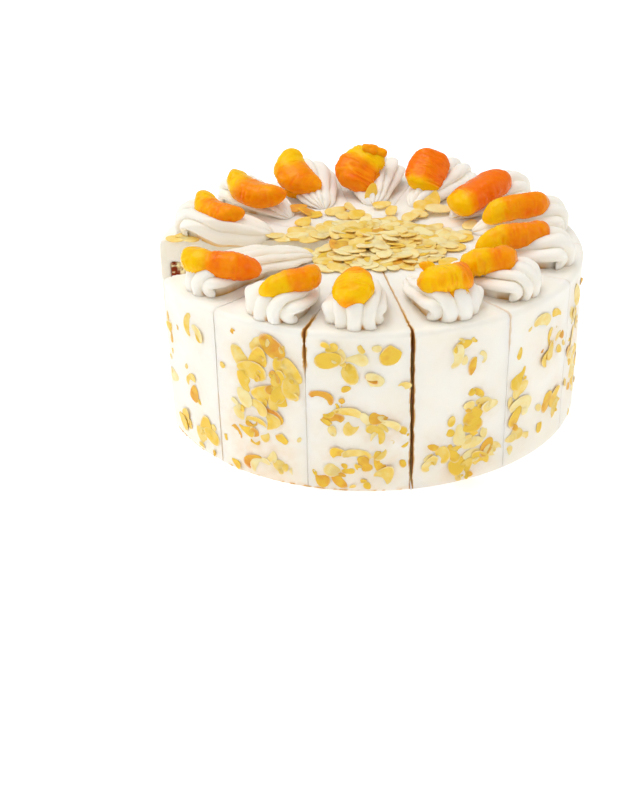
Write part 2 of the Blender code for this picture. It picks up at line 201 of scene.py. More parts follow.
# Whipped cream, piped and spread: soft white, light scattered deep in it, tiny air bubbles on its face.
creamLook = {
    "lit": "#FEF9F2",
    "deep": "#F9F0DF",  # in patches, where it looks yellower
    "syrupAndShade": "#E3AE58",  # along the cuts, at the bottoms of the shells' grooves near their feet, and under the almond heap, where it is partly painted warm shade
    "crumbs": "#84451A",  # dragged out of the sponge by the knife
    "syrupAndShadeRange": (0.0, 0.5),  # of the stain and the painted shade
    "crumbRange": (0.5, 1.0),
    "patchMm": 18,
    "bubbleMm": 0.9,
    "relief": {"Strength": 0.25, "Distance": 0.0003},
    "shader": {
        "Roughness": 0.5, "IOR": 1.45, "Specular IOR Level": 0.35,
        "Subsurface Weight": 0.5, "Subsurface Radius": (1.0, 0.88, 0.72), "Subsurface Scale": 0.006,
    },
}


def whippedCream():
    material, tree, shader, place = startMaterial("whippedCreamSpread", creamLook["shader"])
    patch = addNode(tree, "TexNoise", {"Vector": place, "Scale": 1000 / creamLook["patchMm"], "Detail": 3})
    tint = addNode(tree, "Mix", {0: patch, 6: creamLook["lit"], 7: creamLook["deep"]}, **colours)
    # stains along the cuts and round the foot, and painted warm shade under the almond heap
    stainAndShade = addNode(tree, "Attribute", out="Fac", attribute_name="stainAndShade")
    syrupAndShadeShare = addNode(tree, "MapRange", (stainAndShade, *creamLook["syrupAndShadeRange"]))
    dirty = addNode(tree, "MapRange", (stainAndShade, *creamLook["crumbRange"]))
    syrupAndShade = addNode(tree, "Mix", {0: syrupAndShadeShare, 6: tint, 7: creamLook["syrupAndShade"]}, **colours)
    stained = addNode(tree, "Mix", {0: dirty, 6: syrupAndShade, 7: creamLook["crumbs"]}, **colours)
    bubbles = addNode(tree, "TexNoise", {
        "Vector": place, "Scale": 1000 / creamLook["bubbleMm"], "Detail": 3, "Roughness": 0.6,
    })
    bump = addNode(tree, "Bump", {"Height": bubbles, **creamLook["relief"]})
    fillInputs(tree, shader, {"Base Color": stained, "Normal": bump})
    return material


# Baked egg sponge: yellow crumb with open pores darkened by painted shade, red-brown where it was baked
# against the tin.
spongeLook = {
    "crumb": "#FFF2C0",
    # painted shade in the pores
    "poreShadow": "#D9AE58",
    "crust": "#A2461F",
    "crustDark": "#762612",
    "grainMm": 0.8,
    "grainShade": 0.35,  # its part in the painted pore shade, beside the pores
    "shadeRange": (0.25, 1.15),
    "relief": {"Strength": 0.6, "Distance": 0.0005},
    "shader": {
        "Roughness": 0.9, "IOR": 1.4, "Specular IOR Level": 0.2,
        "Subsurface Weight": 0.3, "Subsurface Radius": (1.0, 0.85, 0.55), "Subsurface Scale": 0.002,
    },
}


def bakedSponge():
    material, tree, shader, place = startMaterial("bakedEggSponge", spongeLook["shader"])
    grain = addNode(tree, "TexNoise", {"Vector": place, "Scale": 1000 / spongeLook["grainMm"], "Detail": 2})
    poreShadow = addNode(tree, "Attribute", out="Fac", attribute_name="poreShadow")
    crust = addNode(tree, "Attribute", out="Fac", attribute_name="crust")
    depth = addNode(
        tree, "Math", (grain, spongeLook["grainShade"], poreShadow), operation="MULTIPLY_ADD", use_clamp=True,
    )
    shade = addNode(tree, "MapRange", (depth, *spongeLook["shadeRange"]))
    # the crumb darkens towards the pore colour where shade is painted in the pores
    crumb = addNode(tree, "Mix", {0: shade, 6: spongeLook["crumb"], 7: spongeLook["poreShadow"]}, **colours)
    baked = addNode(tree, "Mix", {0: grain, 6: spongeLook["crust"], 7: spongeLook["crustDark"]}, **colours)
    whole = addNode(tree, "Mix", {0: crust, 6: crumb, 7: baked}, **colours)
    bump = addNode(tree, "Bump", {"Height": grain, **spongeLook["relief"]})
    fillInputs(tree, shader, {"Base Color": whole, "Normal": bump})
    return material


# Peeled mandarin flesh from a tin: wet, translucent juice sacs, painted lit yellow at one end as a highlight,
# and orange deepening away from it, partly its own colour and partly painted shade.
fruitLook = {
    # painted highlight: yellow at the lit end
    "thin": "#FFC800",
    "ripeAndShaded": "#FFA000",
    # deep orange away from the lit end, partly its own colour and partly painted shade
    "deep": "#F87400",
    "sacMm": 2.2,
    "sacShade": 0.25,
    "ripeRange": (0.1, 0.62),
    "deepRange": (0.62, 1.15),
    "relief": {"Strength": 0.35, "Distance": 0.0006},
    "shader": {
        "Roughness": 0.24, "IOR": 1.36, "Specular IOR Level": 0.22,
        "Subsurface Weight": 0.3, "Subsurface Radius": (1.0, 0.7, 0.15), "Subsurface Scale": 0.003,
    },
}


def mandarinFlesh():
    material, tree, shader, place = startMaterial("peeledMandarinFlesh", fruitLook["shader"])
    ripeAndShaded = addNode(tree, "Attribute", out="Fac", attribute_name="ripeAndShaded")
    sacs = addNode(tree, "TexNoise", {"Vector": place, "Scale": 1000 / fruitLook["sacMm"], "Detail": 2})
    vary = addNode(tree, "Math", (sacs, fruitLook["sacShade"], ripeAndShaded), operation="MULTIPLY_ADD")
    # lit yellow end as a painted highlight, orange deepening towards the other end, partly as painted shade
    warm = addNode(tree, "MapRange", (vary, *fruitLook["ripeRange"]))
    deep = addNode(tree, "MapRange", (vary, *fruitLook["deepRange"]))
    half = addNode(tree, "Mix", {0: warm, 6: fruitLook["thin"], 7: fruitLook["ripeAndShaded"]}, **colours)
    whole = addNode(tree, "Mix", {0: deep, 6: half, 7: fruitLook["deep"]}, **colours)
    bump = addNode(tree, "Bump", {"Height": sacs, **fruitLook["relief"]})
    fillInputs(tree, shader, {"Base Color": whole, "Normal": bump})
    return material


# Blanched almonds, sliced thin: waxy pale flakes, golden to brown where they were toasted.
almondLook = {
    "pale": "#FCE9AC",
    "golden": "#F5C740",
    "toasted": "#E08A24",
    "edge": "#E8B458",  # darker golden rim of a dry flake, partly its own colour and partly painted shade in the gaps between flakes
    "cream": "#FFF4E0",  # on the edge of a flake that is pressed into it
    "fibreMm": 2.1,  # three times as coarse as it is, so that it shows
    "fibreShade": 0.3,
    "patchMm": 6.0,
    "patchShade": 0.7,
    "goldRange": (0.5, 1.05),
    "brownRange": (1.2, 1.65),
    "edgeRange": (0.35, 0.85),
    "relief": {"Strength": 0.3, "Distance": 0.0002},
    "shader": {
        "Roughness": 0.42, "IOR": 1.47, "Specular IOR Level": 0.3,
        "Subsurface Weight": 0.25, "Subsurface Radius": (1.0, 0.75, 0.4), "Subsurface Scale": 0.002,
    },
}


def slicedAlmond():
    material, tree, shader, place = startMaterial("blanchedSlicedAlmond", almondLook["shader"])
    tone, rim, pressed = (
        addNode(tree, "Attribute", out="Fac", attribute_name=name) for name in ("tone", "rim", "pressed")
    )
    fibre = addNode(tree, "TexNoise", {"Vector": place, "Scale": 1000 / almondLook["fibreMm"], "Detail": 3})
    patch = addNode(tree, "TexNoise", {"Vector": place, "Scale": 1000 / almondLook["patchMm"], "Detail": 1})
    grown = addNode(tree, "Math", (patch, almondLook["patchShade"], tone), operation="MULTIPLY_ADD")
    vary = addNode(tree, "Math", (fibre, almondLook["fibreShade"], grown), operation="MULTIPLY_ADD")
    gold = addNode(tree, "MapRange", (vary, *almondLook["goldRange"]))
    brown = addNode(tree, "MapRange", (vary, *almondLook["brownRange"]))
    half = addNode(tree, "Mix", {0: gold, 6: almondLook["pale"], 7: almondLook["golden"]}, **colours)
    face = addNode(tree, "Mix", {0: brown, 6: half, 7: almondLook["toasted"]}, **colours)
    # dry flakes get a darker golden rim, partly painted shade in the gaps between them
    border = addNode(tree, "Mix", {0: pressed, 6: almondLook["edge"], 7: almondLook["cream"]}, **colours)
    ragged = addNode(tree, "Math", (rim, patch), operation="MULTIPLY")
    edge = addNode(tree, "MapRange", (ragged, *almondLook["edgeRange"]))
    whole = addNode(tree, "Mix", {0: edge, 6: face, 7: border}, **colours)
    bump = addNode(tree, "Bump", {"Height": fibre, **almondLook["relief"]})
    fillInputs(tree, shader, {"Base Color": whole, "Normal": bump})
    return material


cream, sponge, fruit, almond = whippedCream(), bakedSponge(), mandarinFlesh(), slicedAlmond()
print("materials made")


# Cake body

wall = {
    "bloom": 0.004,  # how far the oil of a cluster spreads in the cream
    "scales": (0.80, 1.05),  # as on the solids
    "bigger": (0.85, 1.25),  # times that, from flake to flake
    "tilts": (3, 9),
    "chips": 1.3,  # broken bits for each flake
    "chipScales": (0.22, 0.6),
    "chipTilts": (2, 14),
    "chipSpread": 0.008,
    "chipFoot": 0.003,  # lowest place of a bit
    "margin": 0.0075,  # from the cuts and the foot
    "rimMargin": 0.011,
    "tones": (0.10, 0.80),
    "toasted": (0.8, 1.0),  # tones of the share that is toasted
    "toastedShare": 0.14,
    # by slice: share of the way across, height in mm, flakes, reach in mm
    "clusters": {
        1: (
            (0.15, 60, 2, 7), (0.68, 72, 2, 6), (0.12, 34, 1, 0), (0.6, 39, 2, 6), (0.76, 14, 3, 7),
            (0.3, 12, 2, 6),
        ),
        2: (
            (0.38, 64, 4, 10), (0.8, 62, 5, 12), (0.5, 46, 4, 11), (0.3, 30, 4, 10), (0.62, 28, 3, 8),
            (0.55, 12, 5, 15), (0.62, 79, 2, 6),
        ),
        3: (
            (0.3, 79, 2, 6), (0.48, 73, 2, 6), (0.66, 64, 1, 0), (0.8, 79, 1, 0), (0.15, 54, 1, 0),
            (0.22, 37, 2, 6), (0.48, 41, 3, 7), (0.75, 36, 4, 9), (0.33, 18, 3, 9), (0.66, 16, 4, 10),
            (0.2, 9, 2, 7),
        ),
        4: (
            (0.48, 77, 2, 5), (0.62, 66, 1, 0), (0.7, 41, 3, 7), (0.5, 31, 2, 6), (0.25, 21, 3, 8),
            (0.52, 14, 5, 10), (0.78, 14, 3, 7),
        ),
        5: (
            (0.72, 76, 1, 0), (0.46, 77, 1, 0), (0.66, 60, 4, 9), (0.15, 46, 2, 6), (0.18, 31, 2, 6),
            (0.74, 25, 3, 8), (0.22, 14, 2, 6),
        ),
        6: ((0.22, 70, 3, 10), (0.3, 49, 4, 12), (0.4, 28, 4, 12)),
    },
    "plain": ((0.3, 30, 3, 13), (0.7, 24, 2, 10), (0.5, 62, 2, 10)),
    "shareShift": 0.1,  # of the plain clusters, from slice to slice
    "heightShift": 8,  # in mm
}


# A slice's clusters, in metres.
def wallClusters(number, draw):
    rows = []
    for share, height, count, reach in wall["clusters"].get(number, wall["plain"]):
        if number not in wall["clusters"]:
            share += draw.uniform(-wall["shareShift"], wall["shareShift"])
            height += draw.uniform(-wall["heightShift"], wall["heightShift"])
        rows.append((share, height / 1000, count, reach / 1000))
    return rows


heap = {
    "centre": (0.005, -0.004),
    "radius": 0.045,  # across
    "depth": 0.036,  # from the front to the back
    "core": 0.0022,  # height of the mound of cream under the flakes
    "lumps": 0.3,  # how uneven it is
    "height": 0.0034,  # of the flakes on the core
    "edge": 0.0008,
    "rises": (0.1, 1.0),  # shares of that height
    "flakes": 190,
    "spreads": (-0.003, 0.003),  # from their even places
    "wavy": (0.07, 0.05),  # how uneven the outline is, in three and in five waves
    "tilts": (2, 20),
    "flatter": 0.6,  # share by which they lie flatter at the edge
    "scales": (0.85, 1.20),
    "tones": (-0.05, 0.5),
    "toasted": (0.7, 0.95),
    "toastedShare": 0.05,
    "overhang": -0.003,  # how far from the open gap a flake's middle stays
}

body = {
    "shares": 44,  # columns across a slice
    "closeShares": (0.004, 0.010, 0.018, 0.028),  # the columns beside a cut
    "wallRows": 70,
    "rimRows": 8,
    "topRows": 64,
    "topBand": 0.001,  # what reaches this near the cake's height lies on its top
    "waves": ((0.024, 0.00042), (0.007, 0.00022), (0.0022, 0.00007)),  # size and depth of the spreading marks
    "tip": 0.012,  # inside this radius the cuts aren't closed
    "cutFaceStain": 0.2,
}


def sliceTip(number):
    start = middleAngle(number) - pitch / 2
    before, after = cutGap(number - 1) / 2, cutGap(number) / 2
    first, last = sideways(start), sideways(start + pitch)
    across = first[0] * last[1] - first[1] * last[0]
    return np.array([
        (before * last[1] + after * first[1]) / across,
        (-before * last[0] - after * first[0]) / across,
        0,
    ])


# Points at a share of the way across a slice; a radius of 0 is its tip.
def wedgePoints(number, share, radius, z):
    tip = sliceTip(number)
    share, radius, z = np.broadcast_arrays(share, radius, z)
    way = outward(middleAngle(number) - pitch / 2 + share * pitch)
    along = -(way @ tip)
    distance = along + np.sqrt(np.maximum(along**2 - tip @ tip + radius**2, 0))
    points = tip + way * np.where(radius > 1e-6, distance, 0)[..., None]
    points[..., 2] = z
    return points


def cutDistance(number, points):
    start = middleAngle(number) - pitch / 2
    first = points @ sideways(start) - cutGap(number - 1) / 2
    last = -(points @ sideways(start + pitch)) - cutGap(number) / 2
    return first, last


# How far the spread cream stands off its plain form, with the low mound that the almonds lie on.
def creamRelief(points):
    waves = sum(depth * noise(points, size, 3 + i) for i, (size, depth) in enumerate(body["waves"]))
    return waves + heapMound(points) * (points[:, 2] > cake["height"] - body["topBand"])


def heapShare(points):
    away = (points[:, :2] - heap["centre"]) / (heap["radius"], heap["depth"])
    return np.hypot(away[:, 0], away[:, 1])


def heapMound(points):
    slope = 1 - smooth(0.25, 1.0, heapShare(points))
    return heap["core"] * slope * (1 + heap["lumps"] * noise(points, 0.007, 12))


cuts = {
    "rounding": 0.00035,  # of the cream's edge
    "lip": 0.0022,  # width of the cream that the knife dragged over a cut
    "ragged": 0.45,  # how unevenly it closes the cut
    "topGape": 0.10,  # on the top, further in
    "gapes": (0.05, 1),  # least and most
    "closes": (-0.2, 0.96),  # share of the half gap that the cream crosses, least and most
    "speckle": 0.7,  # how unevenly the stain reaches out
    "fade": 0.004,  # at the ends of its heights
    "innerStain": 0.4,  # its share towards the cake's middle
    "rim": (0.092, 0.116),  # radii between which the stain grows to the whole
    "plainRims": (2,),  # cuts with no stain further in
    # by the slice before the cut: on the wall, from and to which height it gapes and how much, and on the
    # top, from which radius and how much; then the stain's width, its strength, and the heights it spans
    "looks": {
        1: ((0.000, 0.050, 0.14), (0.118, 0.1), (0.0008, 0.16, 0.000, 0.040)),
        2: ((0.066, 0.090, 0.60), (0.100, 0.60), (0.0009, 0.85, 0.070, 0.091)),
        3: ((-0.01, 0.090, 0.55), (0.117, 0.3), (0.0006, 0.95, -0.010, 0.091)),
        4: ((0.070, 0.090, 0.30), (0.112, 0.2), (0.0008, 0.20, 0.070, 0.091)),
    },
    "plain": ((0.0, 0.090, 0.06), (0.118, 0.1), (0.0006, 0.08, 0.0, 0.091)),
}
stains = {
    "heap": 0.34,  # golden under the almonds, partly their oil in the cream and partly painted warm shade in the gaps between the flakes
    "oil": 0.03,  # for each flake of a cluster on the wall
    "mostOil": 0.13,
    "foot": 0.75,  # at the foot of these slices, and the heights at which it fades
    "footSlices": (1, 2, 3),
    "footHeights": (0.0004, 0.0016),
}


def cutSides(number, points):
    first, last = cutDistance(number, points)
    start = middleAngle(number) - pitch / 2
    return (
        (first, -sideways(start), number - 1),
        (last, sideways(start + pitch), number),
    )


# The cream dragged over the cuts, which closes most of them.
def closeCuts(number, points):
    shift = np.zeros_like(points)
    height = points[:, 2]
    radius = np.hypot(points[:, 0], points[:, 1])
    isTop = smooth(cake["height"] - 0.004, cake["height"] - 0.001, height)
    ragged = 1 + cuts["ragged"] * noise(points, 0.0035, 23)
    for distance, way, cut in cutSides(number, points):
        (low, high, gape), (rimFrom, topGape), _ = cuts["looks"].get(cut, cuts["plain"])
        onWall = gape * smooth(low - 0.008, low + 0.004, height) * (1 - smooth(high, high + 0.006, height))
        onTop = cuts["topGape"] + topGape * smooth(rimFrom - 0.006, rimFrom + 0.004, radius)
        gapes = np.clip(onWall * (1 - isTop) + onTop * isTop, *cuts["gapes"])
        near = 1 - smooth(0, cuts["lip"], distance)
        shift += way * (cutGap(cut) / 2 * np.clip(1 - gapes * ragged, *cuts["closes"]) * near)[:, None]
    return shift


# Syrup and crumbs along the cuts and round the foot, the almonds' oil, and under the heap a golden colour
# that is partly painted warm shade.
def creamStainAndShade(number, points):
    height, fade = points[:, 2], cuts["fade"]
    stainAndShade = np.zeros(len(points))
    speckle = noise(points, 0.0028, 24, 2)
    rim = smooth(*cuts["rim"], np.hypot(points[:, 0], points[:, 1]))
    for distance, _, cut in cutSides(number, points):
        width, strength, low, high = cuts["looks"].get(cut, cuts["plain"])[2]
        reach = np.maximum(width * (1 + cuts["speckle"] * speckle), 1e-5)
        spot = smooth(low - fade, low + fade, height) * (1 - smooth(high, high + fade, height))
        inner = rim if cut in cuts["plainRims"] else cuts["innerStain"] + (1 - cuts["innerStain"]) * rim
        stainAndShade = np.maximum(stainAndShade, strength * spot * inner * (1 - smooth(0.2, 1, distance / reach)))
    isTop = height > cake["height"] - body["topBand"]
    # painted warm shade, partly the almonds' oil, on the cream under the heap, so that the gaps between the
    # flakes look golden
    heapOilAndShade = stains["heap"] * (1 - smooth(0.75, 1.05, heapShare(points))) * isTop
    angles = np.degrees(np.arctan2(points[:, 0], -points[:, 1]))
    across = (angles - middleAngle(number) + 180) % 360 - 180
    for share, middle, count, reach in wallClusters(number, random.Random(number)):
        aside = np.radians(across - (share - 0.5) * pitch) * cake["radius"]
        away = np.hypot(aside, height - middle) / (reach + wall["bloom"])
        oily = stains["oil"] * count * np.exp(-away**2) * (height < cake["height"] - 0.004)
        stainAndShade = np.maximum(stainAndShade, np.clip(oily, 0, stains["mostOil"]) * (1 + 0.6 * speckle))
    foot = stains["foot"] * (number in stains["footSlices"]) * smooth(-0.2, 0.5, speckle)
    foot = foot * (1 - smooth(*stains["footHeights"], height))
    return np.maximum(np.maximum(stainAndShade, foot), heapOilAndShade)


# The cream's edge along a cut is rounded a little, unevenly.
def cutInset(number, points):
    first, last = cutDistance(number, points)
    near = np.clip(np.minimum(first, last), 0, None)
    rounding = cuts["rounding"] * (1 + 0.6 * noise(points, 0.006, 21))
    short = np.clip(rounding - near, 0, None)
    return rounding - np.sqrt(np.maximum(rounding**2 - short**2, 0))


# Rows of the outer surface: radius, height and the way it faces.
def outerRows():
    rounding, radius, height = cake["rimRounding"], cake["radius"], cake["height"]
    rows = [(radius, z, 1, 0) for z in np.linspace(0, height - rounding, body["wallRows"])]
    for step in range(1, body["rimRows"] + 1):
        turn = math.radians(90 * step / body["rimRows"])
        rows.append((
            radius - rounding * (1 - math.cos(turn)), height - rounding * (1 - math.sin(turn)),
            math.cos(turn), math.sin(turn),
        ))
    rows += [(r, height, 0, 1) for r in np.linspace(radius - rounding, 0, body["topRows"])[1:]]
    return np.array(rows)


def sliceShares():
    close = np.array(body["closeShares"])
    plain = np.linspace(0, 1, body["shares"] - 2 * len(close))
    return np.sort(np.concatenate([plain, close, 1 - close]))


layerTops = (  # name, height of its top at the tip and at the outer edge
    ("sponge_bottom", 0.017, 0.021),
    ("filling_lower", 0.026, 0.026),
    ("sponge_middle", 0.045, 0.047),
    ("filling_upper", 0.053, 0.052),
    ("sponge_top", 0.076, 0.076),
)


# A whole slice: spread cream outside, and the layers on its two cut faces, which show in the cuts.
def wholeSlice(number):
    rows, shares = outerRows(), sliceShares()
    count = len(shares)
    points = wedgePoints(number, shares[None, :], rows[:, 0, None], rows[:, 1, None])
    angles = middleAngle(number) - pitch / 2 + shares * pitch
    facing = rows[:, 2, None, None] * outward(angles)[None]
    facing[..., 2] += rows[:, 3, None]
    flat = points.reshape(-1, 3)
    lift = (creamRelief(flat) - cutInset(number, flat)).reshape(points.shape[:2])
    lift *= smooth(0.0, 0.004, rows[:, 1])[:, None]
    shift = closeCuts(number, flat).reshape(points.shape)
    stainAndShade = creamStainAndShade(number, flat)
    points = points + facing * lift[..., None] + shift * (rows[:, 0] > body["tip"])[:, None, None]
    points[-1] = points[-1].mean(0)
    faces = gridFaces(len(rows), count)
    slots = [0] * len(faces)
    points = list(points.reshape(-1, 3))
    stops = [0] + [edge for _, _, edge in layerTops]
    foot = []
    for column in (0, count - 1):
        share = shares[column]
        inner = cake["radius"] - cake["coat"]
        outerEdge = []
        tipEdge = []
        for z in stops:
            outerEdge.append(len(points))
            points.append(wedgePoints(number, share, inner, z))
            tipEdge.append(len(points))
            points.append(wedgePoints(number, share, 0.0, z))
        for layer in range(len(stops) - 1):
            faces.append((tipEdge[layer], outerEdge[layer], outerEdge[layer + 1], tipEdge[layer + 1]))
            slots.append(1 if "sponge" in layerTops[layer][0] else 0)
        rim = [row * count + column for row in range(len(rows))]
        faces.append((*outerEdge, *tipEdge[:-2:-1], *rim[::-1]))
        slots.append(0)
        foot.append((tipEdge[0], outerEdge[0]))
    faces.append((foot[0][0], foot[0][1], *range(count), foot[1][1], foot[1][0]))
    slots.append(0)
    stainAndShade = np.append(stainAndShade, np.full(len(points) - len(stainAndShade), body["cutFaceStain"]))
    addPiece(f"slice{number:02d}Cream", points, faces, (cream, sponge),
             [f"slice_{number:02d}"], {"stainAndShade": stainAndShade}, faceSlots=slots)


for number in sliceNumbers:
    if number not in openSlices:
        wholeSlice(number)
print("whole slices made")


# Open slices, whose layers show at the open gap

opened = {
    "creamVoxel": 0.0010,
    "spongeVoxel": 0.0008,
    "wave": 0.0007,  # of the layers
    "stops": (0.04, 0.078),  # radii at which the layers bend
    "clearance": 0.0003,
    "poreDepth": (0.0008, 0.0008),
    "poreSize": (0.0020, 0.0011),
    "poreFull": (0.75, 0.7),  # of the noise, where a pore is at its deepest
    "poreShade": (0.6, 0.5),  # how dark the painted shade in them is
    "crustDepth": 0.0017,
    "endCrust": 3.8,  # times as deep at the sponge's outer end
    "fillingBack": 0.0003,  # how far cream stands back from the cut face
    "coatBack": 0.0004,
}


def layerHeight(index, radius):
    if index == 0:
        return 0
    _, tip, edge = layerTops[index - 1]
    share = radius / cake["radius"]
    wave = opened["wave"] * math.sin(math.pi * (2.5 * share + 0.7 * index)) * math.sin(math.pi * share)
    return tip + (edge - tip) * share + wave


# Sweeps a profile of (radius, z) across a slice, closes it, and remeshes it to even small faces.
def sweptSolid(number, profile, voxel):
    form = bmesh.new()
    rings = []
    for share in np.linspace(0, 1, 13):
        rings.append([form.verts.new(wedgePoints(number, share, r, z)) for r, z in profile])
    count = len(profile)
    for ring, following in zip(rings, rings[1:]):
        for i in range(count):
            j = (i + 1) % count
            form.faces.new((ring[i], ring[j], following[j], following[i]))
    form.faces.new(rings[0])
    form.faces.new(rings[-1])
    bmesh.ops.remove_doubles(form, verts=form.verts, dist=1e-6)
    bmesh.ops.dissolve_degenerate(form, edges=form.edges, dist=1e-6)
    bmesh.ops.recalc_face_normals(form, faces=form.faces)
    mesh = bpy.data.meshes.new("rough")
    form.to_mesh(mesh)
    form.free()
    rough = addObject("rough", mesh)
    remesh = rough.modifiers.new("even", "REMESH")
    remesh.mode = "VOXEL"
    remesh.voxel_size = voxel
    bpy.context.view_layer.update()
    even = bpy.data.meshes.new_from_object(rough.evaluated_get(bpy.context.evaluated_depsgraph_get()))
    bpy.data.objects.remove(rough, do_unlink=True)
    return even


def meshPoints(mesh):
    points = np.zeros(len(mesh.vertices) * 3, np.float32)
    mesh.vertices.foreach_get("co", points)
    normals = np.zeros(len(mesh.vertices) * 3, np.float32)
    mesh.vertices.foreach_get("normal", normals)
    return points.reshape(-1, 3).astype(float), normals.reshape(-1, 3).astype(float)


def openSlice(number):
    inner = cake["radius"] - cake["coat"]
    stops = (0, *opened["stops"], inner - opened["clearance"])
    half = opened["clearance"] / 2
    side = -1 if number == 1 else 1
    openWay = sideways(middleAngle(number) + side * pitch / 2) * side
    for index, (name, _, _) in enumerate(layerTops):
        lift = half if index else 0
        low = [(r, layerHeight(index, r) + lift) for r in stops]
        high = [(r, layerHeight(index + 1, r) - half) for r in reversed(stops)]
        isSponge = "sponge" in name
        mesh = sweptSolid(number, low + high, opened["spongeVoxel" if isSponge else "creamVoxel"])
        points, normals = meshPoints(mesh)
        cut = np.clip(normals @ openWay, 0, 1) ** 2
        if isSponge:
            radius = np.hypot(points[:, 0], points[:, 1])
            foot = np.array([layerHeight(index, r) for r in radius])
            pores = [
                smooth(0.0, full, noise(points, size, 31 + i))
                for i, (size, full) in enumerate(zip(opened["poreSize"], opened["poreFull"]))
            ]
            depth = sum(d * p for d, p in zip(opened["poreDepth"], pores))
            points -= openWay * (cut * depth)[:, None]
            ragged = opened["crustDepth"] * (1 + 0.5 * noise(points, 0.004, 40))
            torn = noise(points, 0.0018, 46, 2)
            end = 1 - smooth(0.7, 1.1, (inner - radius) / ragged / opened["endCrust"] + 0.5 * torn)
            crust = np.maximum(
                1 - smooth(0.5, 1.1, (points[:, 2] - foot) / ragged), end * smooth(-0.75, -0.25, torn),
            )
            # painted shade in the pores, where they are sunk into the cut face
            poreShadow = sum(s * p for s, p in zip(opened["poreShade"], pores))
            shades = {"poreShadow": np.clip(poreShadow, 0, 1), "crust": crust}
            material, slot = sponge, "yellow_sponge"
        else:
            back = opened["fillingBack"] * (1 + noise(points, 0.008, 44))
            points -= openWay * (cut * back)[:, None]
            shades = {"stainAndShade": np.zeros(len(points))}
            material, slot = cream, "whipped_cream"
        mesh.vertices.foreach_set("co", points.ravel())
        addShades(mesh, shades)
        part, where = name.split("_")
        finishPiece(f"slice{number:02d}{part.capitalize()}{where.capitalize()}", mesh, (material,),
                    [f"slice_{number:02d}_{name}"], 70)
    under = [(r, layerHeight(len(layerTops), r) + half) for r in (0, *opened["stops"], inner)]
    profile = [*under, (inner, 0), *[(r, z) for r, z, _, _ in outerRows()[::2]], (0, cake["height"])]
    mesh = sweptSolid(number, profile, opened["creamVoxel"])
    points, normals = meshPoints(mesh)
    cut = np.clip(normals @ openWay, 0, 1) ** 2
    outerFace = np.clip(normals[:, 2] * (points[:, 2] > 0.08), 0, 1)
    outerFace = np.maximum(outerFace, np.clip((normals * outward(middleAngle(number))).sum(-1), 0, 1))
    lift = creamRelief(points) * smooth(0.0, 0.004, points[:, 2]) * outerFace
    stainAndShade = creamStainAndShade(number, points) * (1 - cut)
    skin = smooth(0.3, 0.8, outerFace) * (1 - cut)
    points += normals * lift[:, None] + closeCuts(number, points) * skin[:, None]
    points -= openWay * (cut * opened["coatBack"] * (1 + noise(points, 0.009, 45)))[:, None]
    points[:, 2] = np.maximum(points[:, 2], 0)
    mesh.vertices.foreach_set("co", points.ravel())
    addShades(mesh, {"stainAndShade": stainAndShade})
    nodes = [f"slice_{number:02d}_cream_coat"]
    finishPiece(f"slice{number:02d}Coat", mesh, (cream,), nodes, 70)


for number in openSlices:
    openSlice(number)
print("open slices made")


# Piped shells

shell = {
    "length": 0.056,
    "width": 0.036,
    "height": 0.0172,
    "front": 0.1152,  # radius of the outer end
    "sunk": 0.0004,
    "pivot": 0.0125,  # the ridges arch over a point this far behind the outer end
    "poleRise": 0.0056,  # height of that point
    "tailWidth": 0.015,
    "tailHeight": 0.0058,
    "taper": 1.35,
    "footWidth": 0.94,
    "groove": 0.27,
    "roundness": 0.55,  # round ridges, sharp grooves
    "headRows": 34,
    "tailRows": 44,
    "perRidge": 14,
    "scales": (0.96, 1.04),
    "turns": (-4, 4),
    "ridgeSizes": (0.90, 1.06),
    "shifts": (-0.10, 0.10),  # of the ridges to a side
    "twists": (-0.6, 0.6),  # of the ridges along the tail
    "sways": (-0.0025, 0.0025),  # of the tail's end
    "wobble": 0.0009,
    "wobbleSize": 0.011,
    # places along the shell, from the outer end
    "headMiddle": 0.016,
    "swingFades": (0.006, 0.046),
    "shiftFades": (0.02, 0.05),
    "leanGrows": (0.01, 0.035),
    "leans": {13: 0.0110, 1: -0.0050},  # how far a tail lies aside
    "sag": (0.45, 0.6),  # aside and down, for each part that a tail lies past the cut
    "footHeights": (0.0008, 0.0042),  # of the tan colour in the grooves
    # strength of the tan at the bottoms of the grooves, near the foot
    "syrupAndShade": 0.55,
    "tailSyrup": 0.045,
    # by slice: ridges, width, height, how many mm ahead and aside it was piped, how far its head is
    # turned, and how much wider and longer its tail is
    "habits": {
        1: (5, 1.02, 1, 2.5, 1, -12, 1.7, 1.4),
        2: (5, 1.14, 1, 3.5, 4, -18, 1, 1),
        3: (5, 0.9, 1, 3, -1.5, -2, 1, 1),
        4: (5, 1.02, 1, 1.5, 1, 8, 1, 1),
        5: (5, 0.98, 1, 2, -4, 20, 1, 1),
        6: (5, 1, 1.08, 0, -2, 18, 1.1, 1),
        7: (5, 1, 1.15, 1, 0, 8, 1, 1),
        8: (6, 1.04, 1.22, 1.5, 0, -8, 1, 1),
        9: (5, 1.04, 1.15, 1.5, -3, 6, 1, 1),
        10: (5, 1.04, 1.02, 1, -2, -6, 1.1, 1),
        11: (6, 1.04, 1, 1, -1.5, 8, 1.1, 1),
        12: (5, 1, 1, 1, 0, -8, 1.2, 1),
        13: (5, 1.18, 1, 2, 4, 8, 2.1, 1.12),
    },
}


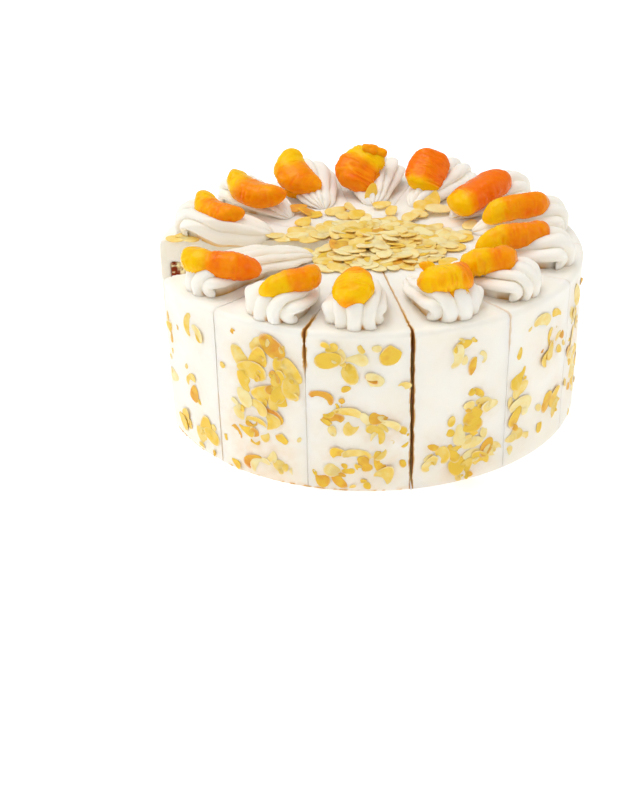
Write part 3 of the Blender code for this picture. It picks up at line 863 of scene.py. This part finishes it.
def pipedShell(number):
    own, draw = random.Random(100 + number), random.Random(200 + number)
    scale, turn = own.uniform(*shell["scales"]), own.uniform(*shell["turns"])
    ridges, broader, taller, *shifts, headTurn, widerTail, longer = shell["habits"][number]
    ahead, aside = np.array(shifts) / 1000
    theta = np.linspace(0, math.pi, ridges * shell["perRidge"] + 1)
    sizes = np.array([draw.uniform(*shell["ridgeSizes"]) for _ in range(ridges)])
    shift, phase = draw.uniform(*shell["shifts"]), draw.uniform(0, 6)
    width, height = shell["width"] * scale * broader, shell["height"] * scale * taller
    tailWidth, tailHeight = shell["tailWidth"] * widerTail, shell["tailHeight"] * math.sqrt(widerTail)
    pole, pivot = shell["poleRise"], shell["pivot"]
    run = shell["length"] * scale * longer - pivot
    twist, sway = draw.uniform(*shell["twists"]), draw.uniform(*shell["sways"])
    rows, grooves = [], []

    def addRow(place, twisted):
        wander = theta + (shift + twisted) * np.sin(theta) ** 2
        wander = wander + 0.04 * np.sin(3 * theta + phase) * np.sin(theta)
        lobe = np.abs(np.sin(ridges * wander)) ** shell["roundness"]
        ridge = np.clip((wander * ridges / math.pi).astype(int), 0, ridges - 1)
        size = 1 - shell["groove"] * (1 - lobe) - (1 - sizes[ridge]) * 0.7 * lobe
        rows.append(place(size))
        grooves.append(1 - lobe)

    for lean in np.radians(np.linspace(-90, 90, shell["headRows"])):
        grow = smooth(-1.2, 1.57, lean)
        reach = pivot * (1 - grow) + (height - pole) * grow
        broad = width * (0.88 + 0.12 * math.sin(max(lean, 0)))
        addRow(lambda size: np.stack([
            broad / 2 * np.cos(theta) * size,
            pivot - reach * np.sin(theta) * size * math.cos(lean),
            pole + reach * np.sin(theta) * size * math.sin(lean),
        ], -1), 0.12 * twist * (lean - 1.57))
    for step in range(1, shell["tailRows"] + 1):
        share = step / shell["tailRows"]
        fill, close = 1 - share ** shell["taper"], math.sqrt(1 - share**6)
        broad = tailWidth * close + (width - tailWidth) * fill
        high = tailHeight * close + (height - tailHeight) * fill
        rise = pole * fill
        addRow(lambda size: np.stack([
            broad / 2 * np.cos(theta) * size + sway * share**2,
            np.full_like(theta, pivot + share * run),
            rise + (high - rise) * np.sin(theta) * size,
        ], -1), twist * share)
    rows, grooves = np.array(rows), np.array(grooves)
    feet = rows[:, [0, -1]].copy()
    feet[:, :, 0] *= shell["footWidth"]
    feet[:, :, 2] = 0
    rows = np.concatenate([feet[:, :1], rows, feet[:, 1:]], 1)
    grooves = np.pad(grooves, ((0, 0), (1, 1)), "edge")
    local = rows.reshape(-1, 3)
    away = local - np.array([0, pivot, pole])
    away[:, 1] *= local[:, 1] < pivot
    uneven = shell["wobble"] * noise(local, shell["wobbleSize"], 50 + number, 2)
    local = local + unit(away) * uneven[:, None]
    # the head is turned about its middle, and the tail follows less and less
    swing = np.radians(headTurn) * (1 - smooth(*shell["swingFades"], local[:, 1]))
    x, y = local[:, 0].copy(), local[:, 1] - shell["headMiddle"]
    local[:, 0] = x * np.cos(swing) - y * np.sin(swing)
    local[:, 1] = x * np.sin(swing) + y * np.cos(swing) + shell["headMiddle"]
    settle = 1 - smooth(*shell["shiftFades"], local[:, 1])
    local[:, 0] += aside * settle
    local[:, 1] -= ahead * settle
    local[:, 2] = np.maximum(local[:, 2], 0)
    local[:, 0] += shell["leans"].get(number, 0) * smooth(*shell["leanGrows"], local[:, 1])
    heading = middleAngle(number) + turn
    start = outward(middleAngle(number)) * shell["front"] + np.array([0, 0, cake["height"] - shell["sunk"]])
    points = start + local @ np.array([sideways(heading), -outward(heading), [0, 0, 1]])
    # where it leans over the open gap it sags down the cut face
    for distance, way, cut in cutSides(number, points):
        if cut in (0, cake["slices"] - 1):
            past = np.clip(-distance, 0, None)
            points -= way * (shell["sag"][0] * past)[:, None]
            points[:, 2] -= shell["sag"][1] * past
    across = rows.shape[1]
    faces = gridFaces(len(rows), across)
    left = [i * across for i in range(len(rows))]
    right = [i * across + across - 1 for i in range(len(rows))]
    faces.append(tuple(range(left[-1], left[-1] + across)))
    faces.append((*left[::-1], *range(1, across - 1), *right))
    # tan at the bottoms of the grooves near the foot, in spots
    deep = smooth(0.3, 0.75, grooves.ravel()) * (1 - smooth(*shell["footHeights"], local[:, 2]))
    stainAndShade = shell["syrupAndShade"] * deep * smooth(-0.5, 0.3, noise(points, 0.006, 70))
    onTail = shell["tailSyrup"] * (number in openSlices) * smooth(0.012, 0.030, local[:, 1])
    addPiece(f"pipedShell{number:02d}", points, faces, (cream,),
             [f"cream_shell_{number:02d}"], {"stainAndShade": np.maximum(stainAndShade, onTail)}, 80)


for number in sliceNumbers:
    pipedShell(number)
print("shells piped")


# Mandarin segments

segment = {
    "thickness": 0.0125,
    "droop": 0.00222,  # of the ends, besides each one's own bend
    "stations": 96,
    "around": 54,
    "sacDepth": 0.00024,
    "fineSacs": 0.4,  # share of the smaller grain
    "lumpDepth": 0.0006,
    "sacSize": (0.0016, 0.0050, 0.0070),  # along, through and across
    "waistWidth": 0.10,
    # by slice: angle; radius, middle above the top, length and depth in mm; heading, roll and pitch
    "places": {
        1: (-50, 100, 14.5, 44, 21, -12, 80, -2),
        2: (-23, 100, 15.5, 34, 18, 27, 66, 2),
        3: (-4, 103, 17, 27, 21, 78, 84, 20),
        4: (23.2, 98, 16, 28, 25, 22, 68, 4),
        5: (43, 91, 15.5, 31, 20, 8, 68, 0),
        6: (68, 84, 15.5, 42, 18, 6, 70, 1),
        7: (97, 84, 16.5, 40, 17, 10, 62, 2),
        8: (122, 78, 15.5, 45, 24, 38, 84, 12),
        9: (154, 83, 16, 31, 24, -115, 72, -30),
        10: (-176, 83, 16.5, 33, 25, -128, 70, -28),
        11: (-148, 85, 15, 36, 21, -52, 104, -24),
        12: (-123.5, 83, 14, 43, 20, -38, 98, -5),
        13: (-100.7, 90, 13.5, 37, 16.5, -42, 98, -5),
    },
    # by slice: bluntness of the left and right end, how many mm each is bent towards the back and upwards,
    # then how much fatter it is, which end is painted lit yellow as a highlight (-1 left end, 1 right end),
    # and how torn
    "habits": {
        1: (7, 3.2, 0, -1, 1, -2, 1.08, -0.86, 1.6),
        2: (2.2, 8, 1, 0, -1, 1, 1.02, -0.8, 1.1),
        3: (1.9, 2, 0, 0, 0, 0, 1.04, -0.2, 1.5),
        4: (4, 4, 0, 0, 0, -2, 1.16, -0.4, 2.4),
        5: (5, 5, 0, 0, -2, -1, 1.14, -0.7, 1.8),
        6: (3.5, 6, 3, -2, -5, 1, 1.06, -0.9, 1.3),
        7: (4, 5, 2, -1, -5, 0, 1.14, -1.1, 1.1),
        8: (8, 4, 3, -1, -2, -1, 1.24, -1.3, 1.1),
        9: (5, 4, 0, 0, 0, 0, 1.06, 1.3, 1.5),
        10: (4, 6, -2, -4, 0, 0, 1.06, -0.8, 2.4),
        11: (5, 3, -6, -5, 1, -1, 1.08, -0.9, 1.4),
        12: (4.5, 4, -6, -5, 3, 1, 1.08, -0.9, 1.2),
        13: (4, 4, -5, -4, 2, 1, 0.96, -0.9, 1.4),
    },
    # by slice, how far the orange deepens away from the lit end: partly ripeness, partly painted shade
    "ripestAndShaded": {1: 0.85, 6: 0.76, 7: 0.66, 8: 1.08, 9: 0.98, 10: 0.80, 12: 0.66},  # by slice
    "plainRipestAndShaded": 0.62,
    "waists": {1: (-0.25, 0.09), 8: (-0.2, 0.03), 12: (-0.55, 0.08)},  # by slice: place and depth
    # bits of torn flesh that hang off a segment, in mm: how far right of its middle, how far up as the eye
    # sees it from the front, how far to the front, length and width; then how far it is turned
    "bits": {
        3: ((0, -8.5, 0, 9, 10, 90),),
        4: ((4.5, -6.5, 4.5, 16, 13, 100), (-3, -5, 4, 14, 9, 20), (-8, 5.5, 0, 10, 6, 150)),
        5: ((-10, -2, 0, 14, 9, 60), (9, -4, 0, 10, 8, -20)),
        6: ((-13.5, -5.5, 0, 14, 8, 55),),
        10: ((9.5, 9.5, 0, 16, 8, -15), (10.5, -9, 0, 12, 7, 70), (2.5, -11.5, 0, 12, 6, 10)),
        11: ((10.5, -6.5, 0, 14, 7, -30), (1, -10.5, 0, 14, 7, -5)),
    },
    "bitRipe": {4: 0.25},  # by slice
    "plainBitRipe": 0.55,
    "bitGrid": (30, 26),  # points along and around
    "bitRelief": 0.0011,
}


# A rough lump of juice sacs, in its own frame.
def tornLump(length, width, seed):
    stations, count = segment["bitGrid"]
    along = np.linspace(0, math.pi, stations)[:, None]
    turn = np.linspace(0, 2 * math.pi, count, endpoint=False)[None, :]
    x = -length / 2 * np.cos(along) * np.ones_like(turn)
    y = width / 2 * 0.8 * np.sin(along) ** 0.8 * np.cos(turn)
    z = width / 2 * np.sin(along) ** 0.8 * np.sin(turn)
    points = np.stack([x, y, z], -1).reshape(-1, 3)
    points += unit(points) * (segment["bitRelief"] * noise(points, 0.0035, seed, 2))[:, None]
    return points, gridFaces(stations, count, True)


def mandarinSegment(number):
    angle, *sizes, heading, roll, pitchUp = segment["places"][number]
    radius, rise, length, depth = np.array(sizes) / 1000
    bluntLeft, bluntRight, *bends, fatter, litEnd, torn = segment["habits"][number]
    backLeft, backRight, upLeft, upRight = np.array(bends) / 1000
    stations, count = segment["stations"], segment["around"]
    share = np.sin(math.pi * (np.linspace(0, 1, stations) - 0.5))[:, None]
    turn = np.linspace(0, 2 * math.pi, count, endpoint=False)[None, :]
    blunt = np.where(share < 0, bluntLeft, bluntRight)
    fullness = np.sqrt(np.maximum(1 - np.abs(share) ** blunt, 0))
    waist, narrow = segment["waists"].get(number, (0, 0))
    fullness = fullness * (1 - narrow * np.exp(-(((share - waist) / segment["waistWidth"]) ** 2)))
    droop = np.where(share < 0, backLeft, backRight) * share**2 - segment["droop"] * share**2
    lift = np.where(share < 0, upLeft, upRight) * share**2
    low, high = droop - depth / 2 * fullness**1.6, droop + depth / 2 * fullness
    up = 0.5 - 0.5 * np.cos(turn)
    plump = np.sin(turn) * (0.66 + 0.34 * up) / 0.86
    x = np.broadcast_to(length / 2 * share, (stations, count))
    y = segment["thickness"] * fatter / 2 * fullness * plump + lift
    z = low + (high - low) * up
    local = np.stack([x, y, z], -1).reshape(-1, 3)
    full = np.broadcast_to(fullness, (stations, count)).ravel()
    axis = unit(np.stack([x * 0, y - lift, z - (low + high) / 2], -1).reshape(-1, 3))
    # juice sacs fan out from the thin edge towards the back
    fan = local.copy()
    fan[:, 0] -= 0.5 * local[:, 0] * (up.repeat(stations, 0).ravel() - 0.5)
    fan /= segment["sacSize"]
    sacs = 1 - 2 * np.abs(noise(fan, 1.0, 80 + number))
    fine = 1 - 2 * np.abs(noise(fan, 0.45, 110 + number))
    lumps = noise(local, 0.0085, 95 + number, 2)
    push = segment["sacDepth"] * (sacs + segment["fineSacs"] * fine) * torn
    push += segment["lumpDepth"] * lumps * torn
    local += axis * (push * full)[:, None]
    local[:, 0] += 0.0007 * torn * noise(local, 0.006, 98 + number) * np.abs(local[:, 0]) / (length / 2)
    place = (
        Matrix.Translation(Vector(outward(angle) * radius) + Vector((0, 0, cake["height"] + rise)))
        @ Matrix.Rotation(math.radians(heading), 4, "Z")
        @ Matrix.Rotation(math.radians(-pitchUp), 4, "Y")
        @ Matrix.Rotation(math.radians(roll), 4, "X")
    )
    points = local @ np.array(place.to_3x3()).T + np.array(place.translation)
    faces = gridFaces(stations, count, True)
    alongShare = local[:, 0] / (length / 2)
    ripestAndShaded = segment["ripestAndShaded"].get(number, segment["plainRipestAndShaded"])
    # painted highlight: yellow at the lit end, deepening to orange, partly painted shade, towards the other
    # end
    ripeAndShaded = 0.08 + ripestAndShaded * smooth(0.42, 0.86, np.abs(alongShare - litEnd)) - 0.14 * sacs
    eye = math.radians(view["elevation"])
    eyeUp = np.array([0, math.sin(eye), math.cos(eye)])
    toEye = np.cross([1, 0, 0], eyeUp)
    for i, (*sizes, turned) in enumerate(segment["bits"].get(number, ())):
        right, up, ahead, long, wide = np.array(sizes) / 1000
        lump, lumpFaces = tornLump(long, wide, 130 + 7 * number + i)
        turned = math.radians(turned)
        axes = np.array([
            [math.cos(turned), 0, 0] + eyeUp * math.sin(turned),
            toEye,
            [-math.sin(turned), 0, 0] + eyeUp * math.cos(turned),
        ])
        faces += [tuple(len(points) + v for v in face) for face in lumpFaces]
        middle = np.array(place.translation) + [right, 0, 0] + eyeUp * up + toEye * ahead
        points = np.concatenate([points, middle + lump @ axes])
        ripeAndShaded = np.append(ripeAndShaded, np.full(len(lump), segment["bitRipe"].get(number, segment["plainBitRipe"])))
    ripeAndShaded = ripeAndShaded + 0.22 * noise(points, 0.008, 60 + number)
    addPiece(f"mandarinSegment{number:02d}", points, faces, (fruit,),
             [f"mandarin_{number:02d}"], {"ripeAndShaded": np.clip(ripeAndShaded, 0, 1)}, 80)


for number in sliceNumbers:
    mandarinSegment(number)
print("mandarin segments laid")


# Almond flakes

flake = {
    "length": 0.014,
    "width": 0.0088,
    "widths": (0.88, 1.12),
    "thickness": 0.0009,
    "pressedThickness": 0.00045,  # what stands out of the cream
    "sides": 18,
    "point": 0.22,
    "cup": 0.0006,
    "bends": (-0.5, 1.0),
    "folds": (-0.6, 0.6),
    "broken": 0.25,  # share that is broken short, and how long those are
    "brokenLengths": (0.55, 1.0),
    # rings from the middle of one face over the rim to the middle of the other: size and height
    "rings": ((0.0, 1), (0.5, 1), (0.86, 1), (1.0, 0.45), (1.0, -0.45), (0.86, -1), (0.5, -1), (0.0, -1)),
    "footGap": 0.0002,  # least height over the floor
    "goldenAngle": 137.5,
}


# One flake's points and faces, lying in the XY plane, with how near each point is to the rim.
def flakeForm(draw, scale, thickness):
    length, width = flake["length"] * scale, flake["width"] * scale * draw.uniform(*flake["widths"])
    turn = np.linspace(0, 2 * math.pi, flake["sides"], endpoint=False)
    wave = 1 + 0.05 * np.sin(2 * turn + draw.uniform(0, 6)) + 0.04 * np.sin(3 * turn + draw.uniform(0, 6))
    chip = draw.uniform(*flake["brokenLengths"]) if draw.random() < flake["broken"] else 1.0
    bend, fold = draw.uniform(*flake["bends"]), draw.uniform(*flake["folds"])
    outline = np.stack([
        np.minimum(length / 2 * np.cos(turn) * wave, length / 2 * chip),
        width / 2 * (1 - flake["point"] * np.cos(turn)) * np.sin(turn) * wave,
    ], -1)
    points, rim = [], []
    for ring, side in flake["rings"]:
        for x, y in outline * ring:
            lift = flake["cup"] * (bend * (2 * x / length) ** 2 + fold * (2 * y / width) ** 2)
            points.append((x, y, side * thickness / 2 + lift))
            rim.append(ring**3)
    return np.array(points), gridFaces(len(flake["rings"]), flake["sides"], True), rim


# Gathers flakes into one mesh.
class FlakePile:
    def __init__(self, pressed):
        self.points, self.faces, self.rims, self.tones = [], [], [], []
        self.pressed = pressed  # 1 where the flakes are pressed into cream

    # The same turns as the solids' flakes: within its plane, then tilted about a line in it.
    def add(self, draw, place, normal, upWay, turn, tilt, tiltTurn, scale, tone):
        local, faces, rim = flakeForm(draw, scale, flake["pressedThickness" if self.pressed else "thickness"])
        normal, upWay = Vector(normal), Vector(upWay)
        side = upWay.cross(normal).normalized()
        lie = Matrix((side, normal.cross(side), normal)).transposed()
        lean = Matrix.Rotation(math.radians(tilt), 3, Vector((math.cos(tiltTurn), math.sin(tiltTurn), 0)))
        spin = np.array(lie @ lean @ Matrix.Rotation(turn, 3, "Z"))
        points = local @ spin.T + np.array(place)
        points[:, 2] += max(0, flake["footGap"] - points[:, 2].min())  # none reaches under the cake
        first = len(self.rims)
        self.points.append(points)
        self.faces += [tuple(first + i for i in face) for face in faces]
        self.rims += rim
        self.tones += [tone] * len(rim)

    def finish(self, name, nodes):
        shades = {"rim": self.rims, "tone": self.tones, "pressed": [self.pressed] * len(self.rims)}
        addPiece(name, np.concatenate(self.points), self.faces, (almond,), nodes, shades, 60)


def drawTone(draw):
    return draw.uniform(*wall["toasted" if draw.random() < wall["toastedShare"] else "tones"])


def clamp(value, low, high):
    return min(max(value, low), high)


def wallFlakes(number):
    pile = FlakePile(1)
    draw, own = random.Random(number), random.Random(300 + number)
    start = middleAngle(number) - pitch / 2
    margin = math.degrees(wall["margin"] / cake["radius"])

    def press(angle, z, turns, scale):
        place = outward(angle) * cake["radius"] + np.array([0, 0, z])
        pile.add(own, place, outward(angle), (0, 0, 1), *turns, scale, drawTone(own))

    for share, height, count, reach in wallClusters(number, draw):
        first = draw.uniform(0, 2 * math.pi)
        for i in range(count):
            away = reach * math.sqrt((i + 0.5) / count)
            turn = first + i * math.radians(flake["goldenAngle"])
            angle = start + share * pitch + math.degrees(away * math.cos(turn) / cake["radius"])
            angle = clamp(angle, start + margin, start + pitch - margin)
            z = clamp(height + away * math.sin(turn), wall["margin"], cake["height"] - wall["rimMargin"])
            turns = draw.uniform(0, math.pi), draw.uniform(*wall["tilts"]), draw.uniform(0, 2 * math.pi)
            scale = draw.uniform(*wall["scales"])
            press(angle, z, turns, scale * own.uniform(*wall["bigger"]))
            for _ in range(int(own.random() + wall["chips"])):
                aside = math.degrees(own.gauss(0, wall["chipSpread"]) / cake["radius"])
                chipAngle = clamp(angle + aside, start + margin / 2, start + pitch - margin / 2)
                chipZ = z + own.gauss(0, wall["chipSpread"])
                chipZ = clamp(chipZ, wall["chipFoot"], cake["height"] - wall["rimMargin"] * 0.7)
                turns = own.uniform(0, 6), own.uniform(*wall["chipTilts"]), own.uniform(0, 6)
                press(chipAngle, chipZ, turns, own.uniform(*wall["chipScales"]))
    pile.finish(f"slice{number:02d}Almonds", [])


for number in sliceNumbers:
    wallFlakes(number)
print("wall flakes pressed in")


# How far a place lies inside the open gap.
def depthInGap(place):
    start = middleAngle(0) - pitch / 2
    return min(place @ sideways(start), -(place @ sideways(start + pitch)))


def almondHeap():
    pile = FlakePile(0)
    draw = random.Random(7)
    for i in range(heap["flakes"]):
        share = math.sqrt((i + 0.5) / heap["flakes"])
        turn = i * math.radians(flake["goldenAngle"])
        edge = 1 + heap["wavy"][0] * math.sin(3 * turn + 1) + heap["wavy"][1] * math.sin(5 * turn)
        reach = share * heap["radius"] * edge + draw.uniform(*heap["spreads"])
        rise = heap["edge"] + (heap["height"] - heap["edge"]) * (1 - share**2) * draw.uniform(*heap["rises"])
        place = np.array([
            heap["centre"][0] + reach * math.cos(turn),
            heap["centre"][1] + reach * math.sin(turn) * heap["depth"] / heap["radius"],
            cake["height"],
        ])
        place[2] += rise + heapMound(place[None])[0]
        tilt = draw.uniform(*heap["tilts"]) * (1 - heap["flatter"] * share)
        turns = draw.uniform(0, 2 * math.pi), tilt, draw.uniform(0, 2 * math.pi)
        scale, tone = draw.uniform(*heap["scales"]), draw.uniform(*heap["tones"])
        if draw.random() < heap["toastedShare"]:
            tone = draw.uniform(*heap["toasted"])
        if depthInGap(place) < heap["overhang"]:
            pile.add(draw, place, (0, 0, 1), (0, 1, 0), *turns, scale, tone)
    pile.finish("almondHeap", ["almond_heap"])


# in mm and degrees: angle, radius, height above the top, turn, tilt, turn of the tilt; then scale and tone
strays = (
    (-93, 110, 0.4, 0, 8, 0, 0.85, 0.3), (-93, 102, 0.6, 170, 6, 0, 0.8, 0.25),
    (-95, 106.5, 1, 20, 5, 0, 0.7, 0.4), (-157, 47.9, 2.5, 20, 12, 0, 1, 0.35),
    (-167, 47.6, 3.5, 100, 20, 90, 0.9, 0.25), (-170, 37.8, 2.5, 60, 14, 40, 0.95, 0.45),
    (-160, 41, 1.5, 160, 10, 0, 0.9, 0.3), (146, 58.8, 3.5, 30, 24, 20, 1, 0.5),
    (146, 69.6, 4.5, 80, 34, 0, 1, 0.45), (136, 60.9, 3.5, 10, 12, 60, 1.25, 0.05),
    (143, 49.5, 2.5, 140, 12, 0, 0.9, 0.3), (143, 41.7, 2.5, 40, 10, 0, 0.9, 0.2),
    (-138, 63, 3.5, 15, 16, 0, 0.9, 1), (-140, 55.9, 2.5, 170, 18, 80, 0.9, 0.9),
    (-125, 45.8, 2.5, 60, 12, 20, 0.85, 0.4), (-143, 50.9, 1.5, 20, 10, 0, 0.8, 0.7),
    (-94, 46.5, 1.2, 5, 6, 0, 1, 0.2), (-97, 40.5, 2, 170, 8, 0, 0.95, 0.1),
    (-96, 53, 2, 30, 8, 90, 0.9, 0.2), (-92, 32.9, 1.5, 15, 10, 30, 1, 0.3),
    (-64, 39.3, 1.5, 0, 7, 0, 0.8, 0.3), (178, 63.2, 5.5, 80, 62, 0, 1, 0.6),
    (171, 54.4, 2.5, 10, 14, 0, 0.8, 0.35), (162, 45.7, 2.5, 75, 16, 0, 0.85, 0.3),
    (125, 67.5, 1.5, 20, 10, 0, 0.9, 0.3), (110, 63, 1.5, 60, 8, 0, 0.9, 0.15),
    (-37, 39.2, 1.5, 10, 6, 0, 0.85, 0.3), (-24, 43.4, 1.5, 150, 8, 0, 0.8, 0.35),
    (92, 49.2, 1.5, 0, 8, 0, 1, 0.1), (53, 54.2, 1.5, 30, 10, 0, 0.8, 0.5),
)


def strayFlakes():
    pile = FlakePile(0)
    draw = random.Random(11)
    for angle, radius, rise, turn, tilt, tiltTurn, scale, tone in strays:
        place = outward(angle) * radius / 1000 + np.array([0, 0, cake["height"] + rise / 1000])
        turns = math.radians(turn), tilt, math.radians(tiltTurn)
        pile.add(draw, place, (0, 0, 1), (0, 1, 0), *turns, scale, tone)
    pile.finish("strayAlmonds", [])


almondHeap()
strayFlakes()
print("almond heap made")


# Floor, light and camera

stage = {
    "floorSize": 40.0,
    "floor": ("#FDFDFD", "#FAFAFA"),
    "grainMm": 25,
    "floorShader": {
        "Roughness": 0.7, "Specular IOR Level": 0.1,
        "Emission Color": "#FFFFFF", "Emission Strength": 0.4,  # lit through from below, as on a light table
    },
    "room": {"Color": "#FFFFFF", "Strength": 0.45},
    "aim": (0, 0, 0.05),
    "lights": (  # name, place, size in metres, power in watts
        ("skyPanel", (-0.30, 0.20, 1.4), 0.9, 9),
        ("leftPanel", (-1.5, 0.1, 0.7), 1.0, 5),
        ("rightPanel", (1.5, -0.1, 0.7), 1.0, 4),
        ("frontPanel", (-0.3, -1.3, 1.2), 1.2, 3.5),
    ),
}


# Painted studio floor, matt and nearly white, with a faint grain.
def stageFloor():
    size = stage["floorSize"]
    mesh = bpy.data.meshes.new("studioFloor")
    corners = [(-size, -size, 0), (size, -size, 0), (size, size, 0), (-size, size, 0)]
    mesh.from_pydata(corners, [], [(0, 1, 2, 3)])
    material, tree, shader, place = startMaterial("paintedStudioFloor", stage["floorShader"])
    grain = addNode(tree, "TexNoise", {"Vector": place, "Scale": 1000 / stage["grainMm"], "Detail": 2})
    tint = addNode(tree, "Mix", {0: grain, 6: stage["floor"][0], 7: stage["floor"][1]}, **colours)
    fillInputs(tree, shader, {"Base Color": tint})
    mesh.materials.append(material)
    addObject("studioFloor", mesh)


def addLights():
    for name, place, size, power in stage["lights"]:
        lamp = bpy.data.lights.new(name, "AREA")
        lamp.size, lamp.energy = size, power
        item = addObject(name, lamp)
        item.location = place
        item.rotation_euler = (Vector(stage["aim"]) - Vector(place)).to_track_quat("-Z", "Y").to_euler()
    world = bpy.data.worlds.new("softWhiteRoom")
    world.use_nodes = True
    fillInputs(world.node_tree, world.node_tree.nodes["Background"], stage["room"])
    bpy.context.scene.world = world


def addCamera():
    rise = math.radians(view["elevation"])
    back = Vector((0, -math.cos(rise), math.sin(rise)))
    forward, right = -back, Vector((1, 0, 0))
    yaw, roll = math.radians(view["yaw"]), math.radians(view["roll"])
    up = right.cross(forward)
    ahead = forward * math.cos(yaw) + right * math.sin(yaw)
    side = right * math.cos(yaw) - forward * math.sin(yaw)
    right = side * math.cos(roll) + up * math.sin(roll)
    up = up * math.cos(roll) - side * math.sin(roll)
    data = bpy.data.cameras.new("photoCamera")
    data.sensor_fit = "HORIZONTAL"
    data.sensor_width = 36
    data.lens = view["focalPixels"] / view["imageWidth"] * data.sensor_width
    item = addObject("photoCamera", data)
    place = back * view["distance"] - Vector((0, 0, view["drop"]))
    item.matrix_world = Matrix.Translation(place) @ Matrix((right, up, -ahead)).transposed().to_4x4()
    bpy.context.scene.camera = item


stageFloor()
addLights()
addCamera()
bpy.context.scene.view_settings.view_transform = "Standard"
bpy.context.scene.view_settings.look = "None"
print("stage set")
